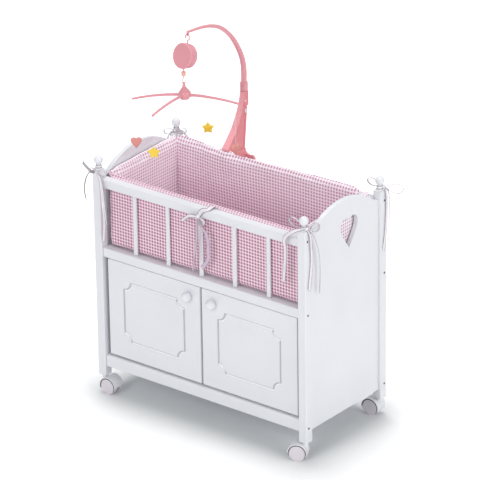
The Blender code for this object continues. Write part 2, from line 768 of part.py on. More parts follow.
def build_caster(corner, x, y, parts, cutters):
    """One caster, turned about its stem."""
    turn = math.radians(CASTER_TURNS[corner])
    place_at = Matrix.Translation((x, y, 0.0)) @ Matrix.Rotation(turn, 4, "Z")
    axle = place_at @ Vector((-CASTER_TRAIL, 0.0, WHEEL_RADIUS))
    across = place_at.to_3x3() @ Vector((0.0, -1.0, 0.0))
    name = f"caster_{corner}"

    def rod(part, radius, start, end, sides, collection=cutters):
        return add_rod(
            f"{name}_{part}", radius, axle + across * start, axle + across * end, sides, collection
        )

    half = HOOD_WIDTH / 2
    hood = rod("hood", HOOD_RADIUS, -half, half, 28, parts)
    skirt = add_block(
        f"{name}_skirt", (-HOOD_RADIUS - OVERRUN, -half - OVERRUN, -HOOD_RADIUS - OVERRUN),
        (HOOD_RADIUS + OVERRUN, half + OVERRUN, -HOOD_SKIRT), cutters,
    )
    lean = Matrix.Rotation(math.asin(HOOD_SKIRT / HOOD_RADIUS), 4, "Y")
    turned = Matrix.Translation(axle) @ Matrix.Rotation(turn, 4, "Z")
    skirt.matrix_world = turned @ lean @ Matrix.Translation(skirt.location)
    cut(hood, skirt)
    boss_base = WHEEL_RADIUS + HOOD_SKIRT
    join(hood, add_rod(
        f"{name}_boss", BOSS_RADIUS, (x, y, boss_base), (x, y, CASTER_HEIGHT - GAP), 12, cutters
    ))
    join(hood, add_rod(
        f"{name}_stem", STEM_RADIUS, (x, y, boss_base + EMBED), (x, y, CASTER_HEIGHT + STEM_LENGTH),
        12, cutters,
    ))
    pocket = WHEEL_RADIUS + HOOD_POCKET_PLAY
    cut(hood, rod("pocket_near", pocket, HOOD_WEB / 2, half + OVERRUN, 28))
    cut(hood, rod("pocket_far", pocket, -HOOD_WEB / 2, -half - OVERRUN, 28))
    cut(hood, rod("bore", AXLE_RADIUS + AXLE_PLAY, -HOOD_WEB, HOOD_WEB, 12))
    paint_white(hood)
    wheels = build_wheels(name, axle, across, parts)
    swivel = add_axis(f"axis_{name}_swivel", (x, y, CASTER_HEIGHT), parts)
    spin = add_axis(f"axis_{name}_spin", axle, parts, (0.0, 0.0, turn))
    carry(spin, wheels)
    carry(swivel, hood, spin)


def build_wheels(name, axle, across, parts):
    """Two dished discs and their axle, turned in one profile."""
    inner = HOOD_WEB / 2 + WHEEL_SIDE_PLAY
    outer = inner + WHEEL_WIDTH
    steps = 24
    rim = WHEEL_RADIUS / math.cos(math.pi / steps)
    half = [
        (0.0, outer - WHEEL_DISH_DEPTH),
        (WHEEL_DISH_RADIUS, outer - WHEEL_DISH_DEPTH),
        (WHEEL_DISH_RADIUS, outer),
        (rim - WHEEL_EDGE, outer),
        (rim, outer - WHEEL_EDGE),
        (rim, inner),
        (AXLE_RADIUS, inner),
    ]
    profile = half + [(radius, -height) for radius, height in reversed(half)]
    facing = across.to_track_quat("Z", "Y").to_matrix().to_4x4()
    wheels = add_turned(f"{name}_wheels", profile, steps, parts)
    wheels.matrix_world = Matrix.Translation(axle) @ facing @ Matrix.Rotation(math.pi / steps, 4, "Z")
    bpy.context.view_layer.update()
    dress(wheels, (0.72, 0.66, 0.70), 0.45)
    return wheels


def add_pad(name, across_stops, up_stops, corner, parts):
    """A soft pad: a cage of quads whose corners a function places, then subdivided once."""
    columns, rows = len(across_stops) - 1, len(up_stops) - 1
    bm = bmesh.new()
    bmesh.ops.create_grid(bm, x_segments=columns, y_segments=rows, size=0.5)
    grown = bmesh.ops.extrude_face_region(bm, geom=bm.faces[:], use_keep_orig=True)
    far_side = {item for item in grown["geom"] if isinstance(item, bmesh.types.BMVert)}
    for vert in bm.verts:
        column = round((vert.co.x + 0.5) * columns)
        row = round((vert.co.y + 0.5) * rows)
        vert.co = corner(across_stops[column], up_stops[row], vert in far_side, column, row)
    bmesh.ops.recalc_face_normals(bm, faces=bm.faces)
    pad = add_mesh(name, bm, parts)
    smooth = pad.modifiers.new("soft", "SUBSURF")
    smooth.levels = 1
    smooth.render_levels = 1
    dress(pad, (0.90, 0.62, 0.74), 0.9)
    return pad


def spread(low, high, shares):
    """Stops between two ends at given shares."""
    return [low + (high - low) * share for share in shares]


def build_bumpers(parts):
    """Padding along the four sides of the crib."""
    base = CRIB_FLOOR_TOP
    ends_x = PANEL_INNER_X - BUMPER_PANEL_GAP - BUMPER_THICKNESS - BUMPER_CORNER_GAP
    lining_y = RAIL_INNER_Y - GAP - GAP
    slack = 2 * (WOOD_EDGE + BUMPER_CORNER_GAP)
    stops = spread(-ends_x, ends_x, FRONT_ACROSS_SHARES)
    front_levels = (
        base, CRIB_BASE + BUMPER_BULGE, TOP_RAIL_Z - BUMPER_BULGE - slack, TOP_RAIL_Z - slack,
        RAIL_TOP, RAIL_TOP + BUMPER_FRONT_RISE,
    )
    bulged = (0, 1, 1, 0, 0, 0)

    def front_corner(across, up, inner, column, row):
        depth = -lining_y - BUMPER_BULGE * bulged[row]
        if inner:
            depth = -lining_y + BUMPER_THICKNESS
        return (across, depth, up)

    add_pad("bumper_front", stops, front_levels, front_corner, parts)
    build_back_bumper(parts, base, ends_x, lining_y)

    end_stops = spread(-lining_y, lining_y, END_ACROSS_SHARES)
    end_levels = spread(base, RAIL_TOP + BUMPER_END_RISE, END_UP_SHARES)
    for side, sign in SIDES.items():
        outer_x = PANEL_INNER_X - BUMPER_PANEL_GAP

        def end_corner(across, up, inner, column, row, sign=sign, outer_x=outer_x):
            reach = outer_x - BUMPER_THICKNESS if inner else outer_x
            return (sign * reach, across, up)

        add_pad(f"bumper_{side}", end_stops, end_levels, end_corner, parts)


def build_back_bumper(parts, base, ends_x, lining_y):
    """The back padding, pressed in where the mobile's clamp comes down behind it."""
    reach = CLAMP_BASE_WIDTH / 2 + CLAMP_DENT_MARGIN
    stops = spread(-ends_x, ends_x, BACK_ACROSS_SHARES)
    stops += [MOBILE_X - reach, MOBILE_X + reach, 0.0, ends_x / 2, ends_x]
    levels = spread(base, RAIL_TOP + BUMPER_BACK_RISE, BACK_UP_SHARES)
    last = len(levels) - 1

    def back_corner(across, up, inner, column, row):
        dent = 0.0
        if row >= last - 2 and abs(across - MOBILE_X) < CLAMP_DENT_REACH:
            dent = CLAMP_DENT
        depth = lining_y - dent
        if inner:
            depth = lining_y - BUMPER_THICKNESS - dent * CLAMP_DENT_THROUGH_SHARE
        if row == last:
            up = RAIL_TOP + BUMPER_BACK_RISE * BACK_TOP_SHARES[column]
        return (across, depth, up)

    add_pad("bumper_back", stops, levels, back_corner, parts)


def build_mattress(parts):
    """A thin crowned pad on the crib floor."""
    base = CRIB_FLOOR_TOP + GAP
    half_x = PANEL_INNER_X - BUMPER_PANEL_GAP - BUMPER_THICKNESS - MATTRESS_GAP
    dent = CLAMP_DENT * CLAMP_DENT_THROUGH_SHARE
    half_y = RAIL_INNER_Y - BUMPER_THICKNESS - dent - MATTRESS_GAP
    stops = spread(-half_x, half_x, MATTRESS_ACROSS_SHARES)
    levels = spread(-half_y, half_y, MATTRESS_UP_SHARES)

    def corner(across, up, upper, column, row):
        crown = MATTRESS_CROWN * (1 - (across / half_x) ** 2) * (1 - (up / half_y) ** 2)
        height = base + MATTRESS_THICKNESS + crown if upper else base
        return (across, up, height)

    mattress = add_pad("mattress", stops, levels, corner, parts)
    dress(mattress, (0.95, 0.90, 0.92), 0.9)


def offset_line(points, distance):
    """Shift a line sideways, to the right of its run."""
    shifted = []
    for index, (across, up) in enumerate(points):
        before, after = points[max(index - 1, 0)], points[min(index + 1, len(points) - 1)]
        run = Vector((after[0] - before[0], after[1] - before[1])).normalized()
        shifted.append((across + run.y * distance, up - run.x * distance))
    return shifted


def clamp_outlines():
    """Side outlines of the clamp: the jaws with the curved flange, the web, the back rib."""
    jaw_back = RAIL_INNER_Y - GAP
    jaw_front = jaw_back - CLAMP_JAW_THICKNESS
    lip_front = jaw_back - CLAMP_LIP_REACH
    lip_top = RAIL_TOP + CLAMP_FRONT_LOW
    foot = RAIL_TOP - CLAMP_JAW_DEPTH
    roof = RAIL_TOP + GAP
    base_top = roof + CLAMP_BASE_HEIGHT
    back_foot = RAIL_OUTER_Y + CLAMP_BACK_FOOT
    front_top = CLAMP_BACK_TOP_Y - CLAMP_TOP_DEPTH
    flange_top = CLAMP_TOP - GAP
    curve = [
        (lip_front + (front_top - lip_front) * across, lip_top + (flange_top - lip_top) * up)
        for across, up in CLAMP_CURVE_SHARES
    ]
    inner = offset_line(curve, CLAMP_FLANGE)
    middle = offset_line(curve, CLAMP_FLANGE / 2)
    inner = [point for point in inner if point[0] > jaw_back and point[1] < CLAMP_TOP - CLAMP_FLANGE]
    middle = [point for point in middle if point[0] > jaw_back and point[1] < CLAMP_TOP - EMBED]
    wide = [
        (jaw_front, foot), (jaw_back, foot), (jaw_back, roof), (CLAMP_FOOT_Y, roof),
        (CLAMP_FOOT_Y, foot), (back_foot, foot), (back_foot, base_top), (jaw_back, base_top),
        *inner, (front_top + CLAMP_FLANGE, flange_top), *reversed(curve),
        (lip_front, lip_top - CLAMP_LIP_THICKNESS), (jaw_front, lip_top - CLAMP_LIP_THICKNESS),
    ]
    web = [
        (jaw_back - EMBED, base_top - EMBED), (back_foot - EMBED, base_top - EMBED),
        (CLAMP_BACK_TOP_Y - EMBED, CLAMP_TOP - EMBED), *reversed(middle),
    ]
    rib = [
        (back_foot - CLAMP_FLANGE, base_top - EMBED), (back_foot, base_top - EMBED),
        (CLAMP_BACK_TOP_Y, CLAMP_TOP - EMBED), (CLAMP_BACK_TOP_Y - CLAMP_FLANGE, CLAMP_TOP - EMBED),
    ]
    return wide, web, rib


def narrow_upwards(piece):
    """Taper a clamp plate's width from its lip to its top."""
    for vert in piece.data.vertices:
        rise = (vert.co.y - RAIL_TOP - CLAMP_FRONT_LOW) / (CLAMP_HEIGHT - CLAMP_FRONT_LOW)
        share = min(max(rise, 0.0), 1.0)
        vert.co.z *= 1 - share * (1 - CLAMP_TOP_WIDTH / CLAMP_BASE_WIDTH)


def build_clamp(parts, cutters):
    """The clamp that sits over the back top rail, with its thumb screw."""
    wide, web, rib = clamp_outlines()
    side = plane_yz(MOBILE_X)
    clamp = add_plate("mobile_clamp", (wide,), CLAMP_BASE_WIDTH, parts, side)
    narrow_upwards(clamp)
    join(clamp, add_plate("clamp_web", (web,), CLAMP_WEB, cutters, side))
    join(clamp, add_plate("clamp_rib", (rib,), CLAMP_TOP_WIDTH - GAP, cutters, side))
    half = CLAMP_TOP_WIDTH / 2 + GAP
    join(clamp, add_block(
        "clamp_head",
        (MOBILE_X - half, CLAMP_BACK_TOP_Y - CLAMP_TOP_DEPTH - GAP, CLAMP_TOP - CLAMP_HEAD_HEIGHT),
        (MOBILE_X + half, CLAMP_BACK_TOP_Y + GAP, CLAMP_TOP), cutters,
    ))
    cut(clamp, add_rod(
        "clamp_socket", ARM_SPIGOT_RADIUS + ARM_SPIGOT_PLAY,
        (MOBILE_X, ARM_Y, CLAMP_TOP - ARM_SPIGOT_LENGTH - GAP), (MOBILE_X, ARM_Y, CLAMP_TOP + OVERRUN),
        12, cutters,
    ))
    screw_z = RAIL_TOP - SCREW_BELOW_TOP
    back_foot = RAIL_OUTER_Y + CLAMP_BACK_FOOT
    cut(clamp, add_rod(
        "clamp_thread", SCREW_RADIUS + SCREW_PLAY, (MOBILE_X, RAIL_OUTER_Y, screw_z),
        (MOBILE_X, back_foot + OVERRUN, screw_z), 12, cutters,
    ))
    slot_y = CLAMP_BACK_TOP_Y - CLAMP_TOP_DEPTH / 2
    for index, height in enumerate(CLAMP_SLOT_HEIGHTS):
        cut(clamp, add_rod(
            f"clamp_slot_{index + 1}", CLAMP_SLOT_RADIUS,
            (MOBILE_X - CLAMP_BASE_WIDTH, slot_y - EMBED / 2, RAIL_TOP + height),
            (MOBILE_X + CLAMP_BASE_WIDTH, slot_y - EMBED / 2, RAIL_TOP + height), 10, cutters,
        ))
    mould_pink(clamp)
    build_screw(screw_z, back_foot, parts, cutters)


def wing_outline(half_length, paddle, bar):
    """Two round paddles joined by a bar."""
    reach = half_length - paddle
    meet = math.degrees(math.asin(bar / paddle))
    right = arc_points((reach, 0.0), paddle, meet - 180, 180 - meet, 10)
    left = arc_points((-reach, 0.0), paddle, meet, 360 - meet, 10)
    return right + left


def build_screw(screw_z, back_foot, parts, cutters):
    """A thumb screw whose tip meets the rail and whose wing stands behind the clamp."""
    wing_y = back_foot + SCREW_NECK + WING_THICKNESS / 2
    turn = Matrix.Rotation(math.radians(WING_TURN), 2)
    level = wing_outline(WING_HALF_LENGTH, WING_PADDLE_RADIUS, WING_BAR_HALF_HEIGHT)
    outline = [tuple(turn @ Vector(point)) for point in level]
    screw = add_plate(
        "clamp_screw", (outline,), WING_THICKNESS, parts, plane_facing(90, (MOBILE_X, wing_y, screw_z))
    )
    join(screw, add_rod(
        "clamp_screw_rod", SCREW_RADIUS, (MOBILE_X, RAIL_OUTER_Y + GAP, screw_z),
        (MOBILE_X, wing_y + WING_THICKNESS, screw_z), 12, cutters,
    ))
    mould_pink(screw)
    axis = add_axis("axis_clamp_screw", (MOBILE_X, back_foot, screw_z), parts)
    carry(axis, screw)


def arm_centre_line():
    """The arm's centre line, upright at its base and bowed over to its tip."""
    return [
        (MOBILE_X, ARM_Y - ARM_REACH * back, ARM_BASE_Z + ARM_RISE * up) for back, up, _ in ARM_SHARES
    ]


def build_arm(parts, cutters):
    """The bowed arm with a collar and spigot at its foot and an eye under its tip."""
    curve = bpy.data.curves.new("mobile_arm", "CURVE")
    curve.dimensions = "3D"
    curve.resolution_u = 3
    curve.bevel_depth = ARM_BASE_WIDTH / 2
    curve.bevel_resolution = 2
    curve.use_fill_caps = True
    line = arm_centre_line()
    line[0] = (line[0][0], line[0][1], line[0][2] - EMBED)
    spline = curve.splines.new("BEZIER")
    spline.bezier_points.add(len(line) - 1)
    for point, place_at, shares in zip(spline.bezier_points, line, ARM_SHARES):
        point.co = place_at
        point.radius = shares[2]
        point.handle_left_type = "AUTO"
        point.handle_right_type = "AUTO"
    arm = to_mesh(place(bpy.data.objects.new("mobile_arm", curve), parts), parts)
    half = ARM_COLLAR_SIDE / 2
    base = CLAMP_TOP + GAP
    join(arm, add_block(
        "arm_collar", (MOBILE_X - half, ARM_Y - half, base), (MOBILE_X + half, ARM_Y + half, ARM_BASE_Z),
        cutters, WOOD_EDGE,
    ))
    join(arm, add_rod(
        "arm_spigot", ARM_SPIGOT_RADIUS, (MOBILE_X, ARM_Y, CLAMP_TOP - ARM_SPIGOT_LENGTH),
        (MOBILE_X, ARM_Y, base + EMBED), 12, cutters,
    ))
    tab = EYE_THICKNESS / 2
    join(arm, add_rod(
        "arm_eye", EYE_RADIUS, (MOBILE_X - tab, EYE_Y, EYE_Z), (MOBILE_X + tab, EYE_Y, EYE_Z), 14, cutters
    ))
    cut(arm, add_rod(
        "arm_eye_hole", EYE_HOLE_RADIUS, (MOBILE_X - OVERRUN, EYE_Y, EYE_Z),
        (MOBILE_X + OVERRUN, EYE_Y, EYE_Z), 14, cutters,
    ))
    mould_pink(arm)


def build_music_box(parts, cutters):
    """The hanging hook, the two shells of the music box and the winding key behind it."""
    centre = Vector((MOBILE_X, BOX_Y, BOX_Z))
    turn, lift = math.radians(BOX_TURN), math.radians(BOX_LIFT)
    level = Vector((-math.sin(turn), -math.cos(turn), 0.0))
    facing = level * math.cos(lift) + Vector((0.0, 0.0, math.sin(lift)))
    rotation = facing.to_track_quat("Z", "Y").to_euler()
    split = SHELL_THICKNESS - (COVER_THICKNESS + SHELL_THICKNESS) / 2
    front = split + GAP + COVER_THICKNESS
    cover = add_turned("music_box_cover", [
        (0.0, front), (BOX_RADIUS - COVER_EDGE, front), (BOX_RADIUS, front - COVER_EDGE),
        (BOX_RADIUS, split + GAP), (0.0, split + GAP),
    ], 32, parts, centre, rotation)
    rear = split - SHELL_THICKNESS
    edge = arc_points(
        (BOX_RADIUS - SHELL_INSET - SHELL_EDGE, rear + SHELL_EDGE), SHELL_EDGE, 0, -90, 3
    )
    cavity = BOX_RADIUS - SHELL_INSET - SHELL_WALL
    shell = add_turned("music_box_shell", [
        (0.0, rear + SHELL_WALL), (cavity, rear + SHELL_WALL), (cavity, split),
        (BOX_RADIUS - SHELL_INSET, split), *edge, (0.0, rear),
    ], 32, parts, centre, rotation)
    spindle_at = Vector((MOBILE_X, SPINDLE_Y, BOX_Z - BOX_RADIUS))
    cut(shell, add_rod(
        "spindle_hole", SPINDLE_RADIUS + SPINDLE_PLAY, spindle_at - Vector((0.0, 0.0, OVERRUN)),
        spindle_at + Vector((0.0, 0.0, SPINDLE_DEPTH + GAP)), 10, cutters,
    ))
    stem_at = Vector((MOBILE_X, EYE_Y, BOX_Z + BOX_RADIUS))
    cut(shell, add_rod(
        "hook_hole", HOOK_WIRE_RADIUS + GAP, stem_at - Vector((0.0, 0.0, HOOK_STEM_DEPTH + GAP)),
        stem_at + Vector((0.0, 0.0, OVERRUN)), 10, cutters,
    ))
    key_seat = centre + facing * rear
    cut(shell, add_rod(
        "key_hole", KEY_STEM_RADIUS + GAP, key_seat + facing * (SHELL_WALL + OVERRUN),
        key_seat - facing * OVERRUN, 12, cutters,
    ))
    movement = build_movement(centre, facing, rotation, rear + SHELL_WALL + GAP, parts, cutters)
    hook = build_hanging_hook(parts)
    for piece in (cover, shell):
        mould_pink(piece)
    key = build_key(key_seat, facing, parts, cutters)
    key_axis = add_axis("axis_winding_key", key_seat, parts, rotation)
    carry(key_axis, key)
    swing = add_axis("axis_music_box_swing", (MOBILE_X, EYE_Y, HOOK_TOP_Z), parts)
    carry(swing, cover, shell, movement, hook, key_axis)
    return swing


def build_movement(centre, facing, rotation, seat, parts, cutters):
    """The spring movement inside the shell: a plate with its spring barrel over the key."""
    across = Vector((MOVEMENT_LENGTH, MOVEMENT_HEIGHT, MOVEMENT_DEPTH)) / 2
    movement = add_block("music_movement", -across, across, parts, WOOD_EDGE)
    movement.rotation_euler = rotation
    movement.location = centre + facing * (seat + MOVEMENT_DEPTH / 2)
    top = seat + SHELL_THICKNESS - SHELL_WALL - GAP - GAP
    join(movement, add_rod(
        "movement_barrel", BARREL_RADIUS, centre + facing * (seat + EMBED), centre + facing * top,
        16, cutters,
    ))
    dress(movement, (0.55, 0.55, 0.56), 0.35, 1.0)
    return movement


def build_hanging_hook(parts):
    """An open ring through the arm's eye, on a stem that stands in the shell."""
    ring_z = HOOK_TOP_Z - HOOK_RING_RADIUS
    ring = arc_points((0.0, ring_z), HOOK_RING_RADIUS, 215, -90, 18)
    foot = BOX_Z + BOX_RADIUS - HOOK_STEM_DEPTH
    points = [(MOBILE_X + across, EYE_Y, up) for across, up in ring]
    points += [(MOBILE_X, EYE_Y, ring_z - HOOK_RING_RADIUS - HOOK_WIRE_RADIUS), (MOBILE_X, EYE_Y, foot)]
    hook = add_tube("hanging_hook", points, HOOK_WIRE_RADIUS, parts, 1)
    mould_pink(hook)
    return hook


def build_key(seat, facing, parts, cutters):
    """The winding key behind the music box."""
    outward = -facing
    key = add_rod(
        "winding_key", KEY_STEM_RADIUS, seat - outward * SHELL_WALL,
        seat + outward * KEY_STEM_LENGTH, 12, parts,
    )
    rise = (Vector((0.0, 0.0, 1.0)) - outward * outward.z).normalized()
    stand = Matrix((outward, rise, outward.cross(rise))).transposed().to_4x4()
    outline = wing_outline(KEY_WING_HALF, KEY_WING_RADIUS, KEY_STEM_RADIUS)
    upright = [(up, across) for across, up in outline]
    wing = add_plate(
        "winding_key_wing", (upright,), KEY_WING_THICKNESS, cutters,
        Matrix.Translation(seat + outward * KEY_STEM_LENGTH) @ stand,
    )
    join(key, wing)
    mould_pink(key)
    return key


def build_spindle(parts, cutters):
    """The turning spindle: shaft, bead and the wire hook that carries the hanger."""
    top = BOX_Z - BOX_RADIUS + SPINDLE_DEPTH
    base = BEAD_TOP_Z - BEAD_HEIGHT
    chamfer = BEAD_RADIUS / 3
    spindle = add_turned("spindle_hook", [
        (0.0, top), (SPINDLE_RADIUS, top), (SPINDLE_RADIUS, BEAD_TOP_Z),
        (BEAD_RADIUS - chamfer, BEAD_TOP_Z), (BEAD_RADIUS, BEAD_TOP_Z - chamfer),
        (BEAD_RADIUS, base + chamfer), (BEAD_RADIUS - chamfer, base), (0.0, base),
    ], 12, parts, (MOBILE_X, SPINDLE_Y, 0.0))
    loop_z = HANG_Z + SPINDLE_LOOP_RADIUS
    loop = arc_points((0.0, loop_z), SPINDLE_LOOP_RADIUS, 140, 375, 12)
    wire = [(0.0, base + EMBED), (0.0, base - SPINDLE_LOOP_DROP / 3)] + loop
    points = [(MOBILE_X + across, SPINDLE_Y, up) for across, up in wire]
    join(spindle, add_tube("spindle_wire", points, SPINDLE_WIRE_RADIUS, cutters, 1))
    dress(spindle, (0.86, 0.60, 0.52), 0.3, 0.2)
    return spindle


def hanger_matrix():
    """The hanger's frame: its eye on the wire, tipped towards one side."""
    lean_axis = Matrix.Rotation(math.radians(HANGER_TILT_TOWARDS), 4, "Z") @ Vector((0.0, -1.0, 0.0))
    tilt = Matrix.Rotation(math.radians(HANGER_TILT), 4, lean_axis)
    return Matrix.Translation((MOBILE_X, SPINDLE_Y, HANG_Z)) @ tilt


def arm_direction(index):
    """Unit direction of one of the hanger's four arms, in the hanger's frame."""
    extra = {BACK_ARM: HANGER_BACK_TURN, FRONT_ARM: HANGER_FRONT_TURN}.get(index, 0.0)
    turn = math.radians(HANGER_TURN + 90 * index + extra)
    return Matrix.Rotation(turn, 4, "Z") @ Vector((1.0, 0.0, 0.0))


def arm_point(index, share):
    """A point on an arm's centre line at a share of its length."""
    direction = arm_direction(index)
    drop = HANGER_ARM_DROP + HANGER_ARM_DROOP * share ** 2
    if index == BACK_ARM:
        drop += HANGER_BACK_DROP * (HANGER_BACK_START_SHARE + (1 - HANGER_BACK_START_SHARE) * share)
    return direction * (HANGER_ARM_LENGTH * share) - Vector((0.0, 0.0, drop))


def build_hanger(parts, cutters):
    """The bell-shaped hub with four drooping arms and an eye on top."""
    frame = hanger_matrix()
    apex = -HUB_APEX_DROP
    profile = [(HUB_RADIUS * out, apex - HUB_HEIGHT * down) for out, down in HUB_SHARES]
    hanger = add_turned("hanger", profile, 20, parts)
    hanger.matrix_world = frame
    for index in range(4):
        shares = [HANGER_ARM_START_SHARE + (1 - HANGER_ARM_START_SHARE) * step / 7 for step in range(8)]
        points = [arm_point(index, share) for share in shares]
        widths = [1 - (1 - HANGER_ARM_TIP_SHARE) * share for share in shares]
        join(hanger, add_tube(
            f"hanger_arm_{index + 1}", points, HANGER_ARM_RADIUS, cutters, 1, widths, matrix=frame
        ))
    tab = HANGER_EYE_THICKNESS / 2
    for label, radius, reach, action in (
        ("eye", HANGER_EYE_RADIUS, tab, join), ("eye_hole", HANGER_EYE_HOLE, OVERRUN, cut)
    ):
        rod = add_rod(
            f"hanger_{label}", radius, (-reach, 0.0, -HANGER_EYE_LIFT), (reach, 0.0, -HANGER_EYE_LIFT),
            14, cutters,
        )
        rod.matrix_world = frame @ rod.matrix_world
        action(hanger, rod)
    bpy.context.view_layer.update()
    mould_pink(hanger)
    return hanger


def build_ornament(name, hanger_axis, parts):
    """One ornament on its string under a hanger arm."""
    kind, index, inset, length, azimuth = ORNAMENTS[name]
    share = 1 - inset / HANGER_ARM_LENGTH
    centre = hanger_matrix() @ arm_point(index, share)
    arm_radius = HANGER_ARM_RADIUS * (1 - (1 - HANGER_ARM_TIP_SHARE) * share)
    fall = 2 * HANGER_ARM_DROOP + (HANGER_BACK_DROP if index == BACK_ARM else 0.0)
    slope = 1 / math.cos(math.radians(HANGER_TILT) + math.atan(fall / HANGER_ARM_LENGTH))
    top = centre - Vector((0.0, 0.0, arm_radius * slope + STRING_RADIUS))
    base = top - Vector((0.0, 0.0, length))
    string = add_tube(f"string_{name}", [top, (top + base) / 2, base], STRING_RADIUS, parts, 1)
    dress(string, (0.95, 0.95, 0.93), 0.8)
    if kind == "heart":
        outline = heart_outline(ORNAMENT_HEART_WIDTH, ORNAMENT_HEART_HEIGHT, 3)
        reach = max(up for across, up in outline if abs(across) < WELD) + 2 * STRING_RADIUS
        colour = (0.86, 0.42, 0.42)
    else:
        outline = star_outline(ORNAMENT_STAR_RADIUS)
        reach = ORNAMENT_STAR_RADIUS - ORNAMENT_EDGE * math.cos(math.pi / 10)
        colour = (0.96, 0.76, 0.12)
    middle = base - Vector((0.0, 0.0, reach + GAP))
    ornament = add_plate(
        f"{kind}_{name}", (outline,), ORNAMENT_THICKNESS, parts, plane_facing(azimuth, middle)
    )
    ease(ornament, ORNAMENT_EDGE)
    dress(ornament, colour, 0.4)
    axis = add_axis(f"axis_{kind}_{name}", top, parts)
    carry(axis, string, ornament)
    carry(hanger_axis, axis)


def build_mobile(parts, cutters):
    """The whole mobile, from its clamp to its ornaments."""
    build_clamp(parts, cutters)
    build_arm(parts, cutters)
    swing = build_music_box(parts, cutters)
    spindle = build_spindle(parts, cutters)
    hanger = build_hanger(parts, cutters)
    hanger_axis = add_axis("axis_hanger_tilt", (MOBILE_X, SPINDLE_Y, HANG_Z), parts)
    for name in ORNAMENTS:
        build_ornament(name, hanger_axis, parts)
    carry(hanger_axis, hanger)
    spin = add_axis("axis_carousel", (MOBILE_X, SPINDLE_Y, BEAD_TOP_Z), parts)
    carry(spin, spindle, hanger_axis)
    carry(swing, spin)


def centre_outline(parts):
    """Move everything so that the middle of the outline, without the ornaments, is over the origin."""
    bpy.context.view_layer.update()
    graph = bpy.context.evaluated_depsgraph_get()
    corners = []
    for piece in parts.objects:
        if piece.type == "MESH" and not piece.name.startswith(ON_STRINGS):
            solid = piece.evaluated_get(graph)
            corners += [solid.matrix_world @ vert.co for vert in solid.to_mesh().vertices]
            solid.to_mesh_clear()
    across, along, _ = [(min(values) + max(values)) / 2 for values in zip(*corners)]
    for item in bpy.data.objects:
        if item.parent is None:
            item.location -= Vector((across, along, 0.0))
    bpy.context.view_layer.update()


def main():
    """Build the cot."""
    clear_scene()
    parts = make_collection("doll_cot")
    cutters = make_collection("cutters")
    build_posts(parts, cutters)
    build_panels(parts)
    build_rails(parts, cutters)
    build_slats(parts)
    build_boards(parts)
    build_doors(parts, cutters)
    build_casters(parts, cutters)
    build_mattress(parts)
    build_bumpers(parts)
    build_mobile(parts, cutters)
    centre_outline(parts)


main()
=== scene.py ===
"""Looks of the doll cot: painted wood, moulded plastic, gingham padding, ribbon bows, the mobile.

Metres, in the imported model's frame: the doors face -Y and the floor is at zero height. A texture's
scale is in cells a metre, an angle is in degrees, and a share runs from 0 to 1.
"""

import json
import logging
import math
from dataclasses import dataclass, field
from enum import Enum
from typing import Iterable, Sequence

import bmesh
import bpy
from mathutils import Matrix, Vector, noise

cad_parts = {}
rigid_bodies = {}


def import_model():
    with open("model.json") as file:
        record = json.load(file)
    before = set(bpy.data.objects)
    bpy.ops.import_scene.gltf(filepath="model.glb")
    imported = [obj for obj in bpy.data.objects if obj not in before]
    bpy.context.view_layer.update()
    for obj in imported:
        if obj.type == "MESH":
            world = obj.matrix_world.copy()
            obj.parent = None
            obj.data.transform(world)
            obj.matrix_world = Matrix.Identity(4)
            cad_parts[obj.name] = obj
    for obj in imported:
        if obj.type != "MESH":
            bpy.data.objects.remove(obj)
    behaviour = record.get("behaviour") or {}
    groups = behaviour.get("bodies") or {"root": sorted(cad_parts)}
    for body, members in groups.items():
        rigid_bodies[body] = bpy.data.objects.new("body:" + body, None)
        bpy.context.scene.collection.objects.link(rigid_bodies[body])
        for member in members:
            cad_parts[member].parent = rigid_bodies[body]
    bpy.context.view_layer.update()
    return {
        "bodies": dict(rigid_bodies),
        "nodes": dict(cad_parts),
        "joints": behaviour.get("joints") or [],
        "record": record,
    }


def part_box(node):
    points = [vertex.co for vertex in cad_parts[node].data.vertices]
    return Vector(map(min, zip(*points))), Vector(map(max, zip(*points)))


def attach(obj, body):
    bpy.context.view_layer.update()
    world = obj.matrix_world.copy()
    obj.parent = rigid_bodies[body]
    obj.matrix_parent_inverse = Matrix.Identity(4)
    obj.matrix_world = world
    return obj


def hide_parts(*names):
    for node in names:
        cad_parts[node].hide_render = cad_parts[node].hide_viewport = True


log = logging.getLogger("doll_cot")

Colour = tuple[float, float, float]
Point = tuple[float, float, float]
Loop = tuple[Point, float, Point]
Outline = Sequence[tuple[float, float]]
Ring = Sequence[bmesh.types.BMVert]

MILLIMETRE = 0.001
NOISE_MIDDLE = (0.3, 0.7)

UP = Vector((0.0, 0.0, 1.0))
RIGHT = Vector((1.0, 0.0, 0.0))
BACK = Vector((0.0, 1.0, 0.0))


class Plane(Enum):
    """The two axes that a cloth's checks follow, and the one that its thin sides turn to."""

    FRONT = ("X", "Z", "Y")
    END = ("Y", "Z", "X")
    FLAT = ("X", "Y", "Z")


class Corner(Enum):
    """The cot's four posts: name and signs along X and Y."""

    FRONT_LEFT = ("front_left", -1, -1)
    FRONT_RIGHT = ("front_right", 1, -1)
    BACK_LEFT = ("back_left", -1, 1)
    BACK_RIGHT = ("back_right", 1, 1)


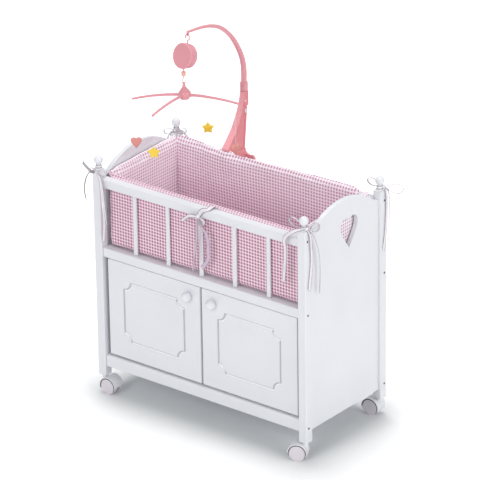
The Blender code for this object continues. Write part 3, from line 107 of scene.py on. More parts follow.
class NodeTree:
    """Wires the nodes of one material."""

    def __init__(self, name: str) -> None:
        """Start a Principled material.

        Args:
            name: the material's name.
        """
        self.material = bpy.data.materials.new(name)
        self.material.use_nodes = True
        self.nodes = self.material.node_tree.nodes
        self.links = self.material.node_tree.links
        self.surface = self.nodes["Principled BSDF"]
        self.place = self.add("ShaderNodeTexCoord").outputs["Object"]

    def add(self, kind: str, **settings: object) -> bpy.types.Node:
        """Add a node and set its properties.

        Args:
            kind: Blender's name of the node's type.
            settings: the node's properties by name.

        Returns:
            The new node.
        """
        node = self.nodes.new(kind)
        for key, value in settings.items():
            setattr(node, key, value)
        return node

    def feed(self, socket: bpy.types.NodeSocket, value: object) -> None:
        """Give an input a value, or link it to another node's output.

        Args:
            socket: the input.
            value: a number, a colour or an output.
        """
        if isinstance(value, bpy.types.NodeSocket):
            self.links.new(value, socket)
        else:
            socket.default_value = value

    def maths(self, operation: str, *values: object) -> bpy.types.NodeSocket:
        """Add a Math node.

        Args:
            operation: its operation.
            values: its inputs, numbers or outputs.

        Returns:
            Its output.
        """
        node = self.add("ShaderNodeMath", operation=operation)
        for socket, value in zip(node.inputs, values):
            self.feed(socket, value)
        return node.outputs[0]

    def noise(self, scale: float, detail: float = 2.0, place: object = None) -> bpy.types.NodeSocket:
        """Add a noise texture.

        Args:
            scale: how fine it is, in cells a metre.
            detail: its number of octaves.
            place: the coordinates it reads, the object's own when left out.

        Returns:
            Its value.
        """
        node = self.add("ShaderNodeTexNoise")
        self.feed(node.inputs["Vector"], place or self.place)
        node.inputs["Scale"].default_value = scale
        node.inputs["Detail"].default_value = detail
        return node.outputs["Fac"]

    def axes(self, vector: object) -> dict[str, bpy.types.NodeSocket]:
        """Return a vector's outputs by axis name.

        Args:
            vector: the vector's output.

        Returns:
            The outputs by axis name.
        """
        node = self.add("ShaderNodeSeparateXYZ")
        self.feed(node.inputs[0], vector)
        return {axis: node.outputs[axis] for axis in "XYZ"}

    def facing(self) -> dict[str, bpy.types.NodeSocket]:
        """Return the surface's normal by axis name."""
        return self.axes(self.add("ShaderNodeTexCoord").outputs["Normal"])

    def stretched(self, stretch: Point) -> bpy.types.NodeSocket:
        """Return the object's coordinates scaled along each axis.

        Args:
            stretch: the scale along each axis.

        Returns:
            The scaled coordinates.
        """
        node = self.add("ShaderNodeMapping")
        self.feed(node.inputs["Vector"], self.place)
        node.inputs["Scale"].default_value = stretch
        return node.outputs["Vector"]

    def ramp(
        self, value: object, low: float, high: float, start: float = 0.0, end: float = 1.0
    ) -> bpy.types.NodeSocket:
        """Map a value from one range to another, and hold it there.

        Args:
            value: the output to map.
            low: where it starts.
            high: where it ends.
            start: what low becomes.
            end: what high becomes.

        Returns:
            The mapped value.
        """
        node = self.add("ShaderNodeMapRange")
        for socket, item in zip(node.inputs, (value, low, high, start, end)):
            self.feed(socket, item)
        return node.outputs["Result"]

    def uneven(self, value: object, start: float = 0.0, end: float = 1.0) -> bpy.types.NodeSocket:
        """Spread a noise's middle values from one number to another."""
        return self.ramp(value, *NOISE_MIDDLE, start, end)

    def mix(self, share: object, first: object, second: object) -> bpy.types.NodeSocket:
        """Mix two colours.

        Args:
            share: how much of the second.
            first: a colour or an output.
            second: a colour or an output.

        Returns:
            The mixed colour.
        """
        node = self.add("ShaderNodeMix", data_type="RGBA")
        self.feed(node.inputs["Factor"], share)
        colours = [item for item in node.inputs if item.type == "RGBA"]
        for socket, value in zip(colours, (first, second)):
            self.feed(socket, (*value, 1.0) if isinstance(value, tuple) else value)
        return next(item for item in node.outputs if item.type == "RGBA")

    def bump(
        self, height: object, distance: float, strength: float, under: object = None
    ) -> bpy.types.NodeSocket:
        """Add a Bump node.

        Args:
            height: the height's output.
            distance: the depth of a full step, in metres.
            strength: how much of it shows.
            under: the normal of a Bump below it, if there is one.

        Returns:
            The new normal.
        """
        node = self.add("ShaderNodeBump")
        node.inputs["Distance"].default_value = distance
        node.inputs["Strength"].default_value = strength
        self.feed(node.inputs["Height"], height)
        if under:
            self.feed(node.inputs["Normal"], under)
        return node.outputs["Normal"]

    def set(self, **values: object) -> None:
        """Set the shader's inputs by name, with underscores for spaces."""
        for key, value in values.items():
            self.feed(self.surface.inputs[key.replace("_", " ")], value)


@dataclass(frozen=True)
class Finish:
    """A surface finish: its colour, how rough it is, and how it is made."""

    name: str
    colour: Colour
    roughness: float = 0.4

    def material(self) -> bpy.types.Material:
        """Return the finish's material, made the first time it is asked for.

        Returns:
            The material.
        """
        found = bpy.data.materials.get(self.name)
        if found:
            return found
        tree = NodeTree(self.name)
        self.wire(tree)
        return tree.material

    def wire(self, tree: NodeTree) -> None:
        """Wire the material's nodes."""
        tree.set(Base_Color=(*self.colour, 1.0), Roughness=self.roughness)

    def tinted(self, tree: NodeTree, scale: float, spread: float) -> bpy.types.NodeSocket:
        """Return the colour, uneven by a share of itself.

        Args:
            tree: the material's nodes.
            scale: how fine the unevenness is, in cells a metre.
            spread: its share of the colour.

        Returns:
            The uneven colour.
        """
        darker = tuple(channel * (1 - spread) for channel in self.colour)
        return tree.mix(tree.uneven(tree.noise(scale, detail=4.0)), self.colour, darker)

    def varied(self, tree: NodeTree, pattern: object, less: float, more: float) -> bpy.types.NodeSocket:
        """Return the roughness, a little less or more of it by a pattern."""
        return tree.uneven(pattern, self.roughness - less, self.roughness + more)


@dataclass(frozen=True)
class Paint(Finish):
    """Brushed satin paint over smooth board, with a trace of the brush along one axis."""

    stroke: Point = (1.0, 1.0, 0.06)
    spread: float = 0.035
    stroke_scale: float = 420.0
    stroke_depth: float = 0.00025
    peel_scale: float = 900.0
    peel_depth: float = 0.0001
    worn_scale: float = 7.0
    tint_scale: float = 9.0
    coat: float = 0.12
    coat_roughness: float = 0.25
    stroke_strength: float = 0.16
    peel_strength: float = 0.25
    smoother: float = 0.05
    rougher: float = 0.07

    def wire(self, tree: NodeTree) -> None:
        """Wire the material's nodes.

        Args:
            tree: the material's nodes.
        """
        strokes = tree.noise(self.stroke_scale, detail=3.0, place=tree.stretched(self.stroke))
        normal = tree.bump(strokes, self.stroke_depth, self.stroke_strength)
        worn = tree.noise(self.worn_scale, detail=3.0)
        peel = tree.noise(self.peel_scale, detail=1.0)
        tree.set(
            Base_Color=self.tinted(tree, self.tint_scale, self.spread),
            Roughness=self.varied(tree, worn, self.smoother, self.rougher),
            Normal=tree.bump(peel, self.peel_depth, self.peel_strength, normal),
            Coat_Weight=self.coat,
            Coat_Roughness=self.coat_roughness,
        )


@dataclass(frozen=True)
class Routed(Paint):
    """The same paint, bright where a routed groove turns to the light and dull where it turns away."""

    bright: Colour = (0.97, 0.97, 0.98)
    dull: Colour = (0.50, 0.51, 0.55)
    turned: float = 0.25
    barely: float = 0.4
    sideways: float = 0.8
    front: float = -0.2

    def tinted(self, tree: NodeTree, scale: float, spread: float) -> bpy.types.NodeSocket:
        """Return the paint's colour, brighter on upward slopes and duller on downward ones.

        Args:
            tree: the material's nodes.
            scale: how fine the unevenness is, in cells a metre.
            spread: its share of the colour.

        Returns:
            The colour.
        """
        facing, least = tree.facing(), self.turned * self.barely
        slope = tree.maths("SUBTRACT", facing["Z"], tree.maths("MULTIPLY", facing["X"], self.sideways))
        front = tree.maths("LESS_THAN", facing["Y"], self.front)
        lit = tree.maths("MULTIPLY", front, tree.ramp(slope, least, self.turned))
        shaded = tree.maths("MULTIPLY", front, tree.ramp(slope, -self.turned, -least, 1.0, 0.0))
        plain = super().tinted(tree, scale, spread)
        return tree.mix(shaded, tree.mix(lit, plain, self.bright), self.dull)


@dataclass(frozen=True)
class Plastic(Finish):
    """Moulded plastic: even colour, a faint flow pattern and a fine skin."""

    skin_scale: float = 1400.0
    skin_depth: float = 0.00006
    flow_scale: float = 38.0
    flow_depth: float = 0.0006
    tint_scale: float = 24.0
    spread: float = 0.05
    skin_strength: float = 0.3
    flow_strength: float = 0.12
    smoother: float = 0.05
    rougher: float = 0.06

    def wire(self, tree: NodeTree) -> None:
        """Wire the material's nodes.

        Args:
            tree: the material's nodes.
        """
        skin = tree.noise(self.skin_scale, detail=2.0)
        flow = tree.noise(self.flow_scale, detail=3.0)
        normal = tree.bump(flow, self.flow_depth, self.flow_strength)
        tree.set(
            Base_Color=self.tinted(tree, self.tint_scale, self.spread),
            Roughness=self.varied(tree, flow, self.smoother, self.rougher),
            Normal=tree.bump(skin, self.skin_depth, self.skin_strength, normal),
        )


@dataclass(frozen=True)
class SideShadedPlastic(Plastic):
    """The same plastic on a flanged moulding, with a painted shade on its flat sides."""

    side: Colour = (0.78, 0.24, 0.27)
    side_from: float = 0.90
    side_to: float = 0.98

    def tinted(self, tree: NodeTree, scale: float, spread: float) -> bpy.types.NodeSocket:
        """Return the plastic's colour, with a painted shade where the moulding faces sideways."""
        # Painted shade: the colour deepens where the surface faces along X.
        sideways = tree.ramp(tree.maths("ABSOLUTE", tree.facing()["X"]), self.side_from, self.side_to)
        return tree.mix(sideways, super().tinted(tree, scale, spread), self.side)


@dataclass(frozen=True)
class Steel(Finish):
    """Bare steel with fine drawn lines."""

    line_scale: float = 900.0
    line_depth: float = 0.0001
    line_stretch: Point = (0.08, 1.0, 1.0)
    line_strength: float = 0.3
    tint_scale: float = 60.0
    spread: float = 0.12
    smoother: float = 0.08
    rougher: float = 0.1

    def wire(self, tree: NodeTree) -> None:
        """Wire the material's nodes.

        Args:
            tree: the material's nodes.
        """
        lines = tree.noise(self.line_scale, detail=2.0, place=tree.stretched(self.line_stretch))
        tree.set(
            Base_Color=self.tinted(tree, self.tint_scale, self.spread),
            Metallic=1.0,
            Roughness=self.varied(tree, lines, self.smoother, self.rougher),
            Normal=tree.bump(lines, self.line_depth, self.line_strength),
        )


@dataclass(frozen=True)
class Cloth(Finish):
    """Plain woven cloth: two sets of threads over a soft unevenness."""

    plane: Plane = Plane.FRONT
    pitch: float = 0.0004
    thread_depth: float = 0.00012
    crease_scale: float = 46.0
    crease_depth: float = 0.0028
    sheen: float = 0.25
    sheen_roughness: float = 0.5
    edge_on: float = 0.75
    thread_strength: float = 0.45
    crease_strength: float = 0.28

    def across_and_up(self, tree: NodeTree) -> list[bpy.types.NodeSocket]:
        """Return the two lengths that the cloth's threads follow, turned round its thin sides.

        Args:
            tree: the material's nodes.

        Returns:
            The two lengths.
        """
        place, facing = tree.axes(tree.place), tree.facing()
        first, second, spare = self.plane.value
        found = []
        for axis in (first, second):
            turned = tree.maths("GREATER_THAN", tree.maths("ABSOLUTE", facing[axis]), self.edge_on)
            gap = tree.maths("SUBTRACT", place[spare], place[axis])
            found.append(tree.maths("MULTIPLY_ADD", gap, turned, place[axis]))
        return found

    def weave(self, tree: NodeTree, across: object, up: object) -> bpy.types.NodeSocket:
        """Return the height of the threads that cross each other.

        Args:
            tree: the material's nodes.
            across: the length across the cloth.
            up: the length up the cloth.

        Returns:
            The threads' height.
        """
        turns = 2 * math.pi / self.pitch
        waves = [tree.maths("SINE", tree.maths("MULTIPLY", length, turns)) for length in (across, up)]
        return tree.maths("MULTIPLY", *waves)

    def dress(self, tree: NodeTree, across: object, up: object, colour: object) -> None:
        """Put a colour, the weave and a soft unevenness on the cloth.

        Args:
            tree: the material's nodes.
            across: the length across the cloth.
            up: the length up the cloth.
            colour: the cloth's colour.
        """
        folds = tree.noise(self.crease_scale, detail=3.0)
        crease = tree.bump(folds, self.crease_depth, self.crease_strength)
        threads = self.weave(tree, across, up)
        tree.set(
            Base_Color=colour,
            Roughness=self.roughness,
            Normal=tree.bump(threads, self.thread_depth, self.thread_strength, crease),
            Sheen_Weight=self.sheen,
            Sheen_Roughness=self.sheen_roughness,
        )


@dataclass(frozen=True)
class Gingham(Cloth):
    """Checked cloth: coloured bands each way, doubled where they cross, with a painted shade low down."""

    ground: Colour = (0.93, 0.80, 0.86)
    single: Colour = (0.83, 0.53, 0.65)
    check: float = 0.00334
    edge_from: float = 0.235
    edge_to: float = 0.265
    # Painted shade: the share of darkening at the lower height, gone by the upper one.
    low_shade: float = 0.0
    low_shade_colour: Colour = (0.42, 0.16, 0.27)
    low_shade_from: float = 0.385
    low_shade_to: float = 0.475
    tint_scale: float = 240.0
    spread: float = 0.12

    def band(self, tree: NodeTree, length: object) -> bpy.types.NodeSocket:
        """Return one where a coloured band runs and nothing between the bands.

        Args:
            tree: the material's nodes.
            length: a length along the cloth.

        Returns:
            The band's share.
        """
        turns = tree.maths("FRACT", tree.maths("MULTIPLY", length, 0.5 / self.check))
        away = tree.maths("ABSOLUTE", tree.maths("SUBTRACT", turns, 0.5))
        return tree.ramp(away, self.edge_from, self.edge_to)

    def wire(self, tree: NodeTree) -> None:
        """Wire the material's nodes.

        Args:
            tree: the material's nodes.
        """
        across, up = self.across_and_up(tree)
        bands = [self.band(tree, length) for length in (across, up)]
        either = tree.maths("MAXIMUM", *bands)
        both = tree.maths("MULTIPLY", *bands)
        striped = tree.mix(either, self.ground, self.single)
        checked = tree.mix(both, striped, self.tinted(tree, self.tint_scale, self.spread))
        # Painted shade: the checks darken towards the bottom of the crib.
        depth = tree.ramp(tree.axes(tree.place)["Z"], self.low_shade_from, self.low_shade_to, self.low_shade, 0.0)
        self.dress(tree, across, up, tree.mix(depth, checked, self.low_shade_colour))


@dataclass(frozen=True)
class Satin(Finish):
    """Ribbon satin: fine ribs across, and a sheen."""

    rib_scale: float = 1500.0
    rib_depth: float = 0.00012
    rib_stretch: Point = (0.2, 0.2, 1.0)
    sheen: float = 0.35
    sheen_roughness: float = 0.35
    rib_strength: float = 0.3
    tint_scale: float = 80.0
    spread: float = 0.10
    smoother: float = 0.08
    rougher: float = 0.1

    def wire(self, tree: NodeTree) -> None:
        """Wire the material's nodes.

        Args:
            tree: the material's nodes.
        """
        ribs = tree.noise(self.rib_scale, detail=1.0, place=tree.stretched(self.rib_stretch))
        tree.set(
            Base_Color=self.tinted(tree, self.tint_scale, self.spread),
            Roughness=self.varied(tree, ribs, self.smoother, self.rougher),
            Normal=tree.bump(ribs, self.rib_depth, self.rib_strength),
            Sheen_Weight=self.sheen,
            Sheen_Roughness=self.sheen_roughness,
        )


WHITE = Paint("white_satin_paint", (0.82, 0.83, 0.865), 0.36)
WHITE_ALONG = Paint("white_satin_paint_on_rails", (0.82, 0.83, 0.865), 0.36, (0.06, 1.0, 1.0))
ROUTED = Routed("white_satin_paint_on_doors", (0.82, 0.83, 0.865), 0.36)
WHITE_PLASTIC = Plastic("white_moulded_plastic", (0.82, 0.825, 0.85), 0.30)
WHEEL_PLASTIC = Plastic("pale_wheel_plastic", (0.79, 0.74, 0.79), 0.42)
# A dark sheet for the shade in the gap round each wheel: painted shade.
WHEEL_GAP_SHADE = Plastic("painted_shade_round_wheel", (0.03, 0.03, 0.035), 0.7)
PINK_PLASTIC = Plastic("pink_moulded_plastic", (0.81, 0.34, 0.385), 0.34)
# The clamp's plastic, with a painted shade on its flat sides.
PINK_PLASTIC_SIDE_SHADED = SideShadedPlastic("pink_plastic_with_painted_side_shade", (0.97, 0.43, 0.47), 0.34)
CORAL_PLASTIC = Plastic("coral_moulded_plastic", (0.83, 0.47, 0.40), 0.30)
CORAL_PAINT = Paint("coral_painted_wood", (0.76, 0.30, 0.26), 0.38, (1.0, 1.0, 1.0), 0.08)
YELLOW_PAINT = Paint("yellow_painted_wood", (0.90, 0.62, 0.045), 0.36, (1.0, 1.0, 1.0), 0.08)
STEEL = Steel("drawn_steel", (0.58, 0.58, 0.60), 0.32)
DARK_STEEL = Steel("blackened_steel", (0.10, 0.10, 0.11), 0.5)
# The bumpers are one gingham cloth, in copies of different brightness that paint light and shade: the outer
# front pad's copy is the darkest, the back and end pads' copies are paler, on a white ground.
OUTER_GINGHAM = Gingham("pink_gingham_outside", (0.38, 0.13, 0.22), 0.85, Plane.FRONT)
FRONT_GINGHAM = Gingham(
    "pink_gingham_along", (0.56, 0.30, 0.44), 0.85, Plane.FRONT,
    ground=(1.0, 1.0, 1.0), single=(0.97, 0.79, 0.89), low_shade=0.14,
)
END_GINGHAM = Gingham(
    "pink_gingham_across", (0.66, 0.38, 0.52), 0.85, Plane.END,
    ground=(1.0, 1.0, 1.0), single=(0.98, 0.84, 0.92), low_shade=0.04,
)
FLAT_GINGHAM = Gingham("pink_gingham_flat", (0.66, 0.26, 0.42), 0.85, Plane.FLAT)
RIBBON = Satin("white_satin_ribbon", (0.88, 0.84, 0.87), 0.42)
# A darker copy of the satin for the ribbons' edges: painted shade.
RIBBON_EDGE_SHADE = Satin("ribbon_painted_edge_shade", (0.34, 0.29, 0.34), 0.55)
# Copies of the white satin ribbon darkened to lilac and to grey: painted shade on some tails.
RIBBON_LILAC_SHADE = Satin("white_satin_ribbon_lilac_shade", (0.66, 0.50, 0.64), 0.42)
RIBBON_GREY_SHADE = Satin("white_satin_ribbon_grey_shade", (0.40, 0.38, 0.41), 0.42)
TWINE = Satin("white_cotton_twine", (0.80, 0.71, 0.70), 0.8)


def paint_node(node: bpy.types.Object, finish: Finish) -> None:
    """Give a CAD node a finish."""
    node.data.materials.clear()
    node.data.materials.append(finish.material())


def settle(
    name: str, bm: bmesh.types.BMesh, finish: Finish, body: str, smooth: bool = True
) -> bpy.types.Object:
    """Turn a bmesh into a piece that rides on a body.

    Args:
        name: the piece's name.
        bm: its mesh, which is freed.
        finish: its finish.
        body: the body that carries it.
        smooth: whether its faces are shaded smooth.

    Returns:
        The piece.
    """
    bmesh.ops.recalc_face_normals(bm, faces=bm.faces)
    for face in bm.faces:
        face.smooth = smooth
    mesh = bpy.data.meshes.new(name)
    bm.to_mesh(mesh)
    bm.free()
    mesh.materials.append(finish.material())
    piece = bpy.data.objects.new(name, mesh)
    bpy.context.scene.collection.objects.link(piece)
    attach(piece, body)
    return piece


def smooth_path(points: Sequence[Vector], steps: int) -> list[Vector]:
    """Run a smooth line through points.

    Args:
        points: the points, ends included.
        steps: how many points each stretch gets.

    Returns:
        The points of the smooth line.
    """
    line = []
    for index in range(len(points) - 1):
        before = points[max(index - 1, 0)]
        start, end = points[index], points[index + 1]
        after = points[min(index + 2, len(points) - 1)]
        for step in range(steps):
            share = step / steps
            line.append(0.5 * (
                2 * start + (end - before) * share
                + (2 * before - 5 * start + 4 * end - after) * share ** 2
                + (3 * start - before - 3 * end + after) * share ** 3
            ))
    line.append(points[-1].copy())
    return line


def turned_piece(
    name: str, profile: Outline, steps: int, place: Matrix, finish: Finish, body: str
) -> bpy.types.Object:
    """Turn a profile of radius and height about an axis.

    Args:
        name: the piece's name.
        profile: its points, radius and height.
        steps: how many flats it has round.
        place: where its axis stands.
        finish: its finish.
        body: the body that carries it.

    Returns:
        The piece.
    """
    bm = bmesh.new()
    rings = []
    for radius, height in profile:
        if radius <= 0.0:
            rings.append([bm.verts.new((0.0, 0.0, height))])
            continue
        angles = [2 * math.pi * step / steps for step in range(steps)]
        rings.append([
            bm.verts.new((radius * math.cos(angle), radius * math.sin(angle), height)) for angle in angles
        ])
    for upper, lower in zip(rings, rings[1:]):
        for step in range(steps):
            after = (step + 1) % steps
            corners = [upper[step % len(upper)], upper[after % len(upper)],
                       lower[after % len(lower)], lower[step % len(lower)]]
            bm.faces.new(list(dict.fromkeys(corners)))
    bmesh.ops.transform(bm, matrix=place, verts=bm.verts)
    return settle(name, bm, finish, body)


def bridge(bm: bmesh.types.BMesh, first: Ring, second: Ring) -> None:
    """Join two rings of the same length with faces.

    Args:
        bm: the mesh.
        first: the points of one ring.
        second: the points of the other.
    """
    for index in range(len(first)):
        after = (index + 1) % len(first)
        bm.faces.new((first[index], first[after], second[after], second[index]))


def facing(direction: Vector, centre: Vector) -> Matrix:
    """Return the place of a turned piece whose axis points along a direction."""
    return Matrix.Translation(centre) @ direction.to_track_quat("Z", "Y").to_matrix().to_4x4()


@dataclass
class CotFrame:
    """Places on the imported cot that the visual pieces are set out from."""

    centre: Vector = field(init=False)
    post_x: float = field(init=False)
    post_y: float = field(init=False)
    rail_top: float = field(init=False)
    ball: float = field(init=False)
    post_top: float = 0.480
    half_post: float = 0.0095
    neck_height: float = 0.0055

    def __post_init__(self) -> None:
        """Measure the frame's boards."""
        low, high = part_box("post_front_left")[0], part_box("post_back_right")[1]
        self.centre = Vector(((low.x + high.x) / 2, (low.y + high.y) / 2, 0.0))
        self.post_x = (high.x - low.x) / 2 - self.half_post
        self.post_y = (high.y - low.y) / 2 - self.half_post
        self.rail_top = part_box("rail_front_top")[1].z
        self.ball = high.z

    def post(self, corner: Corner) -> Vector:
        """Return a post's axis at the top of its square part."""
        _, along, back = corner.value
        return self.centre + Vector((along * self.post_x, back * self.post_y, self.post_top))

    def neck(self, corner: Corner) -> Vector:
        """Return the middle of the neck under a finial's ball."""
        return self.post(corner) + UP * self.neck_height


@dataclass
class Studio:
    """The photograph's camera, a pale floor and soft lamps.

    The focal length, the middle and the picture's side are in pixels, and the sensor is in millimetres.
    A lamp is its name, its place, the length of its side and its power in watts.
    """

    place: Point = (4.0234, -5.0431, 3.2134)
    heading: float = 38.4950
    dip: float = 23.7015
    roll: float = -0.8654
    focal: float = 3637.3881
    middle: tuple[float, float] = (243.9609, 225.6299)
    picture: float = 480.0
    sensor: float = 36.0
    floor_reach: float = 14.0
    clip_share: float = 4.0
    ambient: float = 0.40
    glow_near: float = 0.04
    glow_far: float = 0.60
    glow_reach: float = 0.25
    # The floor's colour: darker near the cot, a painted shadow, and paler away from it.
    under: Colour = (0.73, 0.75, 0.76)
    clear: Colour = (0.90, 0.90, 0.90)
    clear_share: float = 0.25
    matte: float = 0.9
    gloss: float = 0.1
    sky: Colour = (0.97, 0.985, 1.0)
    lamps: tuple[tuple[str, Point, float, float], ...] = (
        ("top", (-0.9, 0.8, 4.2), 1.8, 70.0),
        ("front", (0.4, -3.4, 2.1), 2.0, 46.0),
        ("side", (5.4, -0.3, 2.5), 3.6, 119.0),
    )

    def build(self, cot: CotFrame) -> None:
        """Make the camera, the floor, the lamps and the world.

        Args:
            cot: where the cot's posts and rails stand.
        """
        self.build_camera(cot)
        self.build_floor(cot)
        self.build_world()
        for name, place, size, power in self.lamps:
            self.add_lamp(name, place, size, power, cot)
        bpy.context.scene.view_settings.view_transform = "Standard"

    def build_camera(self, cot: CotFrame) -> None:
        """Stand the camera where the photograph was taken from.

        Args:
            cot: where the cot's posts and rails stand.
        """
        data = bpy.data.cameras.new("camera")
        data.sensor_width = self.sensor
        data.lens = self.focal * self.sensor / self.picture
        data.shift_x = (self.picture / 2 - self.middle[0]) / self.picture
        data.shift_y = (self.middle[1] - self.picture / 2) / self.picture
        data.clip_end = self.floor_reach * self.clip_share
        camera = bpy.data.objects.new("camera", data)
        turn = Matrix.Rotation(math.radians(self.heading), 4, "Z")
        tip = Matrix.Rotation(math.radians(90 - self.dip), 4, "X")
        lean = Matrix.Rotation(math.radians(self.roll), 4, "Z")
        camera.matrix_world = Matrix.Translation(Vector(self.place) + cot.centre) @ turn @ tip @ lean
        bpy.context.scene.collection.objects.link(camera)
        bpy.context.scene.camera = camera

    def build_floor(self, cot: CotFrame) -> None:
        """Lay a pale floor that takes the shadow and otherwise shows white, its colour darker near the cot
        as a painted shadow.

        Args:
            cot: where the cot's posts and rails stand.
        """
        bm = bmesh.new()
        bmesh.ops.create_grid(bm, x_segments=1, y_segments=1, size=self.floor_reach)
        mesh = bpy.data.meshes.new("floor")
        bm.to_mesh(mesh)
        bm.free()
        tree = NodeTree("pale_floor")
        ray = tree.add("ShaderNodeLightPath")
        seen = tree.maths("MAXIMUM", ray.outputs["Is Camera Ray"], ray.outputs["Is Glossy Ray"])
        place = tree.axes(tree.place)
        beyond = []
        for axis, middle, half in (("X", cot.centre.x, cot.post_x), ("Y", cot.centre.y, cot.post_y)):
            away = tree.maths("ABSOLUTE", tree.maths("SUBTRACT", place[axis], middle))
            past = tree.maths("MAXIMUM", tree.maths("SUBTRACT", away, half), 0.0)
            beyond.append(tree.maths("POWER", past, 2.0))
        distance = tree.maths("SQRT", tree.maths("ADD", *beyond))
        glow = tree.ramp(distance, 0.0, self.glow_reach, self.glow_near, self.glow_far)
        # Painted shadow: the floor's colour darkens towards the cot's footprint.
        past_painted_shadow = tree.ramp(distance, 0.0, self.glow_reach * self.clear_share)
        tree.set(
            Base_Color=tree.mix(past_painted_shadow, self.under, self.clear),
            Roughness=self.matte,
            Emission_Color=(1.0, 1.0, 1.0, 1.0),
            Emission_Strength=tree.maths("MULTIPLY", seen, glow),
            Specular_IOR_Level=self.gloss,
        )
        mesh.materials.append(tree.material)
        floor = bpy.data.objects.new("floor", mesh)
        bpy.context.scene.collection.objects.link(floor)

    def build_world(self) -> None:
        """Light the room evenly, and show it white to the camera."""
        world = bpy.data.worlds.new("room")
        bpy.context.scene.world = world
        world.use_nodes = True
        nodes, links = world.node_tree.nodes, world.node_tree.links
        backdrop = nodes["Background"]
        ray = nodes.new("ShaderNodeLightPath")
        seen = nodes.new("ShaderNodeMath")
        seen.operation = "MAXIMUM"
        links.new(ray.outputs["Is Camera Ray"], seen.inputs[0])
        links.new(ray.outputs["Is Glossy Ray"], seen.inputs[1])
        level = nodes.new("ShaderNodeMapRange")
        level.inputs["To Min"].default_value = self.ambient
        level.inputs["To Max"].default_value = 1.0
        links.new(seen.outputs[0], level.inputs["Value"])
        links.new(level.outputs["Result"], backdrop.inputs["Strength"])
        backdrop.inputs["Color"].default_value = (*self.sky, 1.0)

    def add_lamp(self, name: str, place: Point, size: float, power: float, cot: CotFrame) -> None:
        """Hang a soft square lamp that points at the crib.

        Args:
            name: its name.
            place: where it stands.
            size: the length of its side.
            power: its power in watts.
            cot: where the cot's posts and rails stand.
        """
        data = bpy.data.lights.new(name, "AREA")
        data.size = size
        data.energy = power
        lamp = bpy.data.objects.new(name, data)
        target = cot.centre + UP * cot.rail_top
        lamp.location = Vector(place)
        lamp.rotation_mode = "QUATERNION"
        lamp.rotation_quaternion = (target - lamp.location).to_track_quat("-Z", "Y")
        bpy.context.scene.collection.objects.link(lamp)


@dataclass
class Strings:
    """The four strings that hang from the hanger's arms, one over each ornament."""

    hung: dict[str, str] = field(default_factory=lambda: {
        "left": "heart", "front": "star", "back": "star", "right": "heart",
    })
    diameter: float = 0.0008
    stops: int = 16
    slack: float = 0.00025

    def build(self, ornaments: dict[str, bpy.types.Object]) -> None:
        """Args:
            ornaments: the ornament on each string, by the string's side.
        """
        for side, kind in self.hung.items():
            low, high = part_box(f"string_{side}")
            top = Vector(((low.x + high.x) / 2, (low.y + high.y) / 2, high.z))
            base = Vector((top.x, top.y, low.z))
            string = self.add_string(side, top, base)
            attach(string, f"{kind}_{side}")
            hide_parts(f"string_{side}")
            log.info("string %s: %.0f mm", side, (top - base).length / MILLIMETRE)

    def add_string(self, side: str, top: Vector, base: Vector) -> bpy.types.Object:
        """Draw one string, straight under its ornament's weight but for a trace of curl.

        Args:
            side: the side that it hangs on.
            top: its upper end.
            base: its lower end.

        Returns:
            The string.
        """
        curve = bpy.data.curves.new(f"twine_{side}", "CURVE")
        curve.dimensions = "3D"
        curve.bevel_depth = self.diameter / 2
        curve.bevel_resolution = 2
        curve.use_fill_caps = True
        line = curve.splines.new("POLY")
        line.points.add(self.stops)
        for index, point in enumerate(line.points):
            share = index / self.stops
            curl = self.slack * math.sin(math.pi * share) * math.sin(3 * math.pi * share)
            place = top.lerp(base, share) + RIGHT * curl
            point.co = (*place, 1.0)
        curve.materials.append(TWINE.material())
        string = bpy.data.objects.new(f"twine_{side}", curve)
        bpy.context.scene.collection.objects.link(string)
        return string


